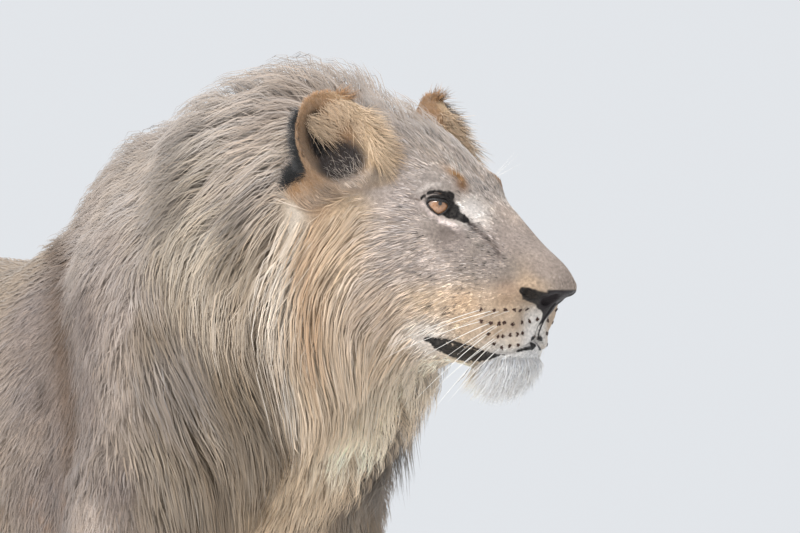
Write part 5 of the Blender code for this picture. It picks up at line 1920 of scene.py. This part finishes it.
class LION_OT_whiskers(bpy.types.Operator):
    """Whiskers in rows on the pads and a few over the eyes, with their dark roots, and the lashes"""

    bl_idname = "lion.whiskers"
    bl_label = "Whiskers"

    def execute(self, context):
        settings, skin = context.scene.lion_face, skin_facts()
        rng = np.random.default_rng(context.scene.lion_coat.seed + 9)
        tree = BVHTree.FromPolygons(skin.at.tolist(), skin.tri.tolist())
        white = plain_material("whisker", (0.80, 0.77, 0.72), 80.0, 0.10, 0.34)
        black = plain_material("lash", (0.010, 0.008, 0.008), 80.0, 0.10, 0.40)
        roots = []
        for side, s in SIDES.items():
            bm = bmesh.new()

            def whisker(at, lean, length, radius, fall):
                start, normal, face, _ = tree.find_nearest(Vector(from_head(np.array(at) * (1, s, 1))))
                lean = np.array(lean) * (1, s, 1) + rng.normal(0, 0.06, 3)
                going = Vector(unit(0.45 * np.array(normal) + HEAD_AXES @ lean))
                line, point = [], start - normal * 0.0015
                for _ in range(WHISKER_STEPS + 1):
                    line.append(point.copy())
                    bend = Vector((0, 0, -fall)) + Vector(HEAD_AXES @ np.array((-0.04, 0, 0)))
                    going = (going + bend).normalized()
                    point = point + going * length / WHISKER_STEPS
                taper = np.linspace(1, 0.2, WHISKER_STEPS + 1)
                swept(bm, line, radius * taper, sides=5)
                return np.array(start), np.array(normal), face

            for row, (line, count) in enumerate(WHISKER_ROWS):
                share = np.linspace(0, 1, count)  # 0 at the row's front
                lean, fall = (-0.80, 0.25, -0.16 - 0.10 * row), 0.040 + 0.010 * row
                for k, spot in enumerate(through(mm(line), share * (len(line) - 1))):
                    at = spot + rng.normal(0, 0.0006, 3)
                    long = settings.whisker_length * (0.16 + 0.84 * ramp(0.25, 0.95, share[k]))
                    radius = settings.whisker_radius * (0.55 + 0.45 * ramp(0.2, 0.9, share[k]))
                    roots.append(whisker(at, lean, long * rng.uniform(0.75, 1.05), radius, fall))
            for k, at in enumerate(mm(BROW_HAIRS)):
                long = 0.045 * rng.uniform(0.8, 1.1)
                whisker(at, (0.35, 0.9, 0.25 + 0.2 * k), long, settings.whisker_radius * 0.5, 0.02)
            finished(f"whiskers_{side}", bm, white)
            self.lashes(side, black, rng)
        self.dark_roots(roots, skin, rng)
        return {"FINISHED"}

    def lashes(self, side, material, rng):
        """Short curved lashes on every second point of the upper lid's rim."""
        bm = bmesh.new()
        centre, _ = eye_frame(side)
        for at in lid_rim(side, RIM_POINTS, lid_size() + 0.0026)[3:24:2]:
            lean = unit(at - centre) + np.array((0.25, 0.25 * SIDES[side], -0.30)) + rng.normal(0, 0.08, 3)
            going = Vector(HEAD_AXES @ unit(lean))
            root = Vector(from_head(at))
            line = [root + going * j * 0.0018 + Vector((0, 0, 0.0002 * j * j)) for j in range(4)]
            swept(bm, line, [0.0004 * (1 - 0.25 * j) for j in range(4)], sides=4)
        finished(f"lashes_{side}", bm, material)

    def dark_roots(self, roots, skin, rng):
        """A small dark tuft round each whisker's root."""
        n = ROOT_HAIRS
        start, normal, face = (np.array(column) for column in zip(*roots))
        lie = unit(skin.lie[skin.tri[face]].mean(1))
        at, normal, lie, uv = (np.repeat(x, n, 0) for x in (start, normal, lie, skin.uv[face].mean(1)))
        count = len(at)
        at = at + np.cross(lie, normal) * rng.normal(0, 0.0008, count)[:, None]
        at = at + lie * rng.normal(-0.0010, 0.0008, count)[:, None]
        spots = SimpleNamespace(at=at, normal=normal, lie=lie, count=count)
        paths, ups = short_paths(spots, rng.uniform(0.0022, 0.0034, count), np.full(count, 0.0018), 2, rng, 0.3)
        dark = np.tile(linear((58, 38, 30)), (count, 1))
        coat_pieces("whisker_roots", paths, ups, 0.0014, (dark, dark * 1.2), uv)


class LION_OT_claws(bpy.types.Operator):
    """Horn for the claws"""

    bl_idname = "lion.claws"
    bl_label = "Claws"

    def execute(self, context):
        horn = plain_material("claw_horn", (0.16, 0.12, 0.09), 260.0, 0.30, 0.34, 0.0004)
        for name in CLAWS:
            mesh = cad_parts[name].data
            mesh.materials.clear()
            mesh.materials.append(horn)
        return {"FINISHED"}


LIGHTS = (  # name, place from the head, power as a share of the main light's setting, size, colour
    ("key", (1.15, -1.95, 2.60), 0.48, (3.6, 3.6), (1.0, 0.985, 0.965)),
    ("side", (-0.3, -3.2, 0.5), 0.26, (3.4, 3.4), (1.0, 0.99, 0.975)),
    ("glint", (1.7, -2.2, 1.72), 0.42, (2.4, 0.65), (0.95, 0.98, 1.0)),
    ("rim", (-1.4, 1.8, 2.4), 0.35, (2.4, 2.4), (1.0, 1.0, 1.0)),
)
VIEW_TURN = math.radians(58)  # from straight ahead of the head round to its right
VIEW_ACROSS, VIEW_UP = 0.1956, 0.0261  # from the tip of the nose to the view's middle
VIEW_WIDTH = 0.8889  # what the camera sees at the head's distance
SENSOR = 36  # the camera's, in millimetres


class LION_OT_stage(bpy.types.Operator):
    """Plain floor, soft studio light and the camera"""

    bl_idname = "lion.stage"
    bl_label = "Floor, light and camera"

    def execute(self, context):
        settings, scene = context.scene.lion_stage, context.scene
        bm = bmesh.new()
        bmesh.ops.create_circle(bm, cap_ends=True, segments=96, radius=settings.floor_radius)
        mesh = bpy.data.meshes.new("floor")
        bm.to_mesh(mesh)
        bm.free()
        mesh.materials.append(plain_material("floor", tuple(settings.floor_colour), 3.0, 0.02, 0.8))
        shown("floor", mesh)
        world = bpy.data.worlds.new("studio")
        world.use_nodes = True
        sky = world.node_tree.nodes["Background"].inputs
        sky["Color"].default_value = (0.93, 0.96, 1.0, 1)
        sky["Strength"].default_value = 0.82
        scene.world = world
        target = Vector(from_head((-0.12, 0, 0.02)))
        for name, at, share, (size, height), colour in LIGHTS:
            light = bpy.data.lights.new(name, "AREA")
            light.shape = "DISK" if size == height else "RECTANGLE"
            light.size, light.energy, light.color = size, settings.key_power * share, colour
            if size != height:
                light.size_y = height
            self.aimed(scene, bpy.data.objects.new(name, light), target + Vector(at), target)
        away = Vector(HEAD_AXES @ unit(np.array((math.cos(VIEW_TURN), -math.sin(VIEW_TURN), 0))))
        across = Vector((0, 0, 1)).cross(away)
        centre = Vector(HEAD_ORIGIN) - across * VIEW_ACROSS + Vector((0, 0, VIEW_UP))
        camera = bpy.data.cameras.new("camera")
        camera.sensor_width, camera.clip_end = SENSOR, 100
        camera.lens = SENSOR * settings.view_distance / VIEW_WIDTH
        eye = bpy.data.objects.new("camera", camera)
        self.aimed(scene, eye, centre + away * settings.view_distance, centre)
        scene.camera = eye
        scene.view_settings.view_transform = "Standard"
        scene.view_settings.look = "None"
        return {"FINISHED"}

    def aimed(self, scene, obj, place, target):
        """Puts a light or the camera at its place, looking at the target."""
        turn = (target - place).to_track_quat("-Z", "Y").to_matrix().to_4x4()
        obj.matrix_world = Matrix.Translation(place) @ turn
        scene.collection.objects.link(obj)


STEPS = (
    "skin", "eyes", "mane", "face_coat", "body_coat", "ears",
    "chin", "tail_tuft", "whiskers", "claws", "stage",
)


class LION_PT_panel(bpy.types.Panel):
    bl_label = "Lion"
    bl_idname = "LION_PT_panel"
    bl_space_type = "VIEW_3D"
    bl_region_type = "UI"
    bl_category = "Lion"

    def draw(self, context):
        for step in STEPS:
            self.layout.operator(f"lion.{step}")
        for name in SETTINGS:
            group = getattr(context.scene, name)
            box = self.layout.box()
            for field in group.bl_rna.properties:
                if field.identifier not in ("rna_type", "name"):
                    box.prop(group, field.identifier)


SETTINGS = {
    "lion_skin": LionSkinSettings,
    "lion_coat": LionCoatSettings,
    "lion_face": LionFaceSettings,
    "lion_stage": LionStageSettings,
}
CLASSES = (
    *SETTINGS.values(), LION_OT_skin, LION_OT_eyes, LION_OT_mane, LION_OT_face_coat, LION_OT_body_coat,
    LION_OT_ears, LION_OT_chin, LION_OT_tail_tuft, LION_OT_whiskers, LION_OT_claws, LION_OT_stage, LION_PT_panel,
)


def register():
    for kind in CLASSES:
        bpy.utils.register_class(kind)
    for name, kind in SETTINGS.items():
        setattr(bpy.types.Scene, name, bpy.props.PointerProperty(type=kind))


def unregister():
    for name in SETTINGS:
        delattr(bpy.types.Scene, name)
    for kind in reversed(CLASSES):
        bpy.utils.unregister_class(kind)


def main():
    register()
    for step in STEPS:
        began = time.time()
        getattr(bpy.ops.lion, step)()
        print(f"{step}: {time.time() - began:.1f} s")


if __name__ == "__main__":
    main()
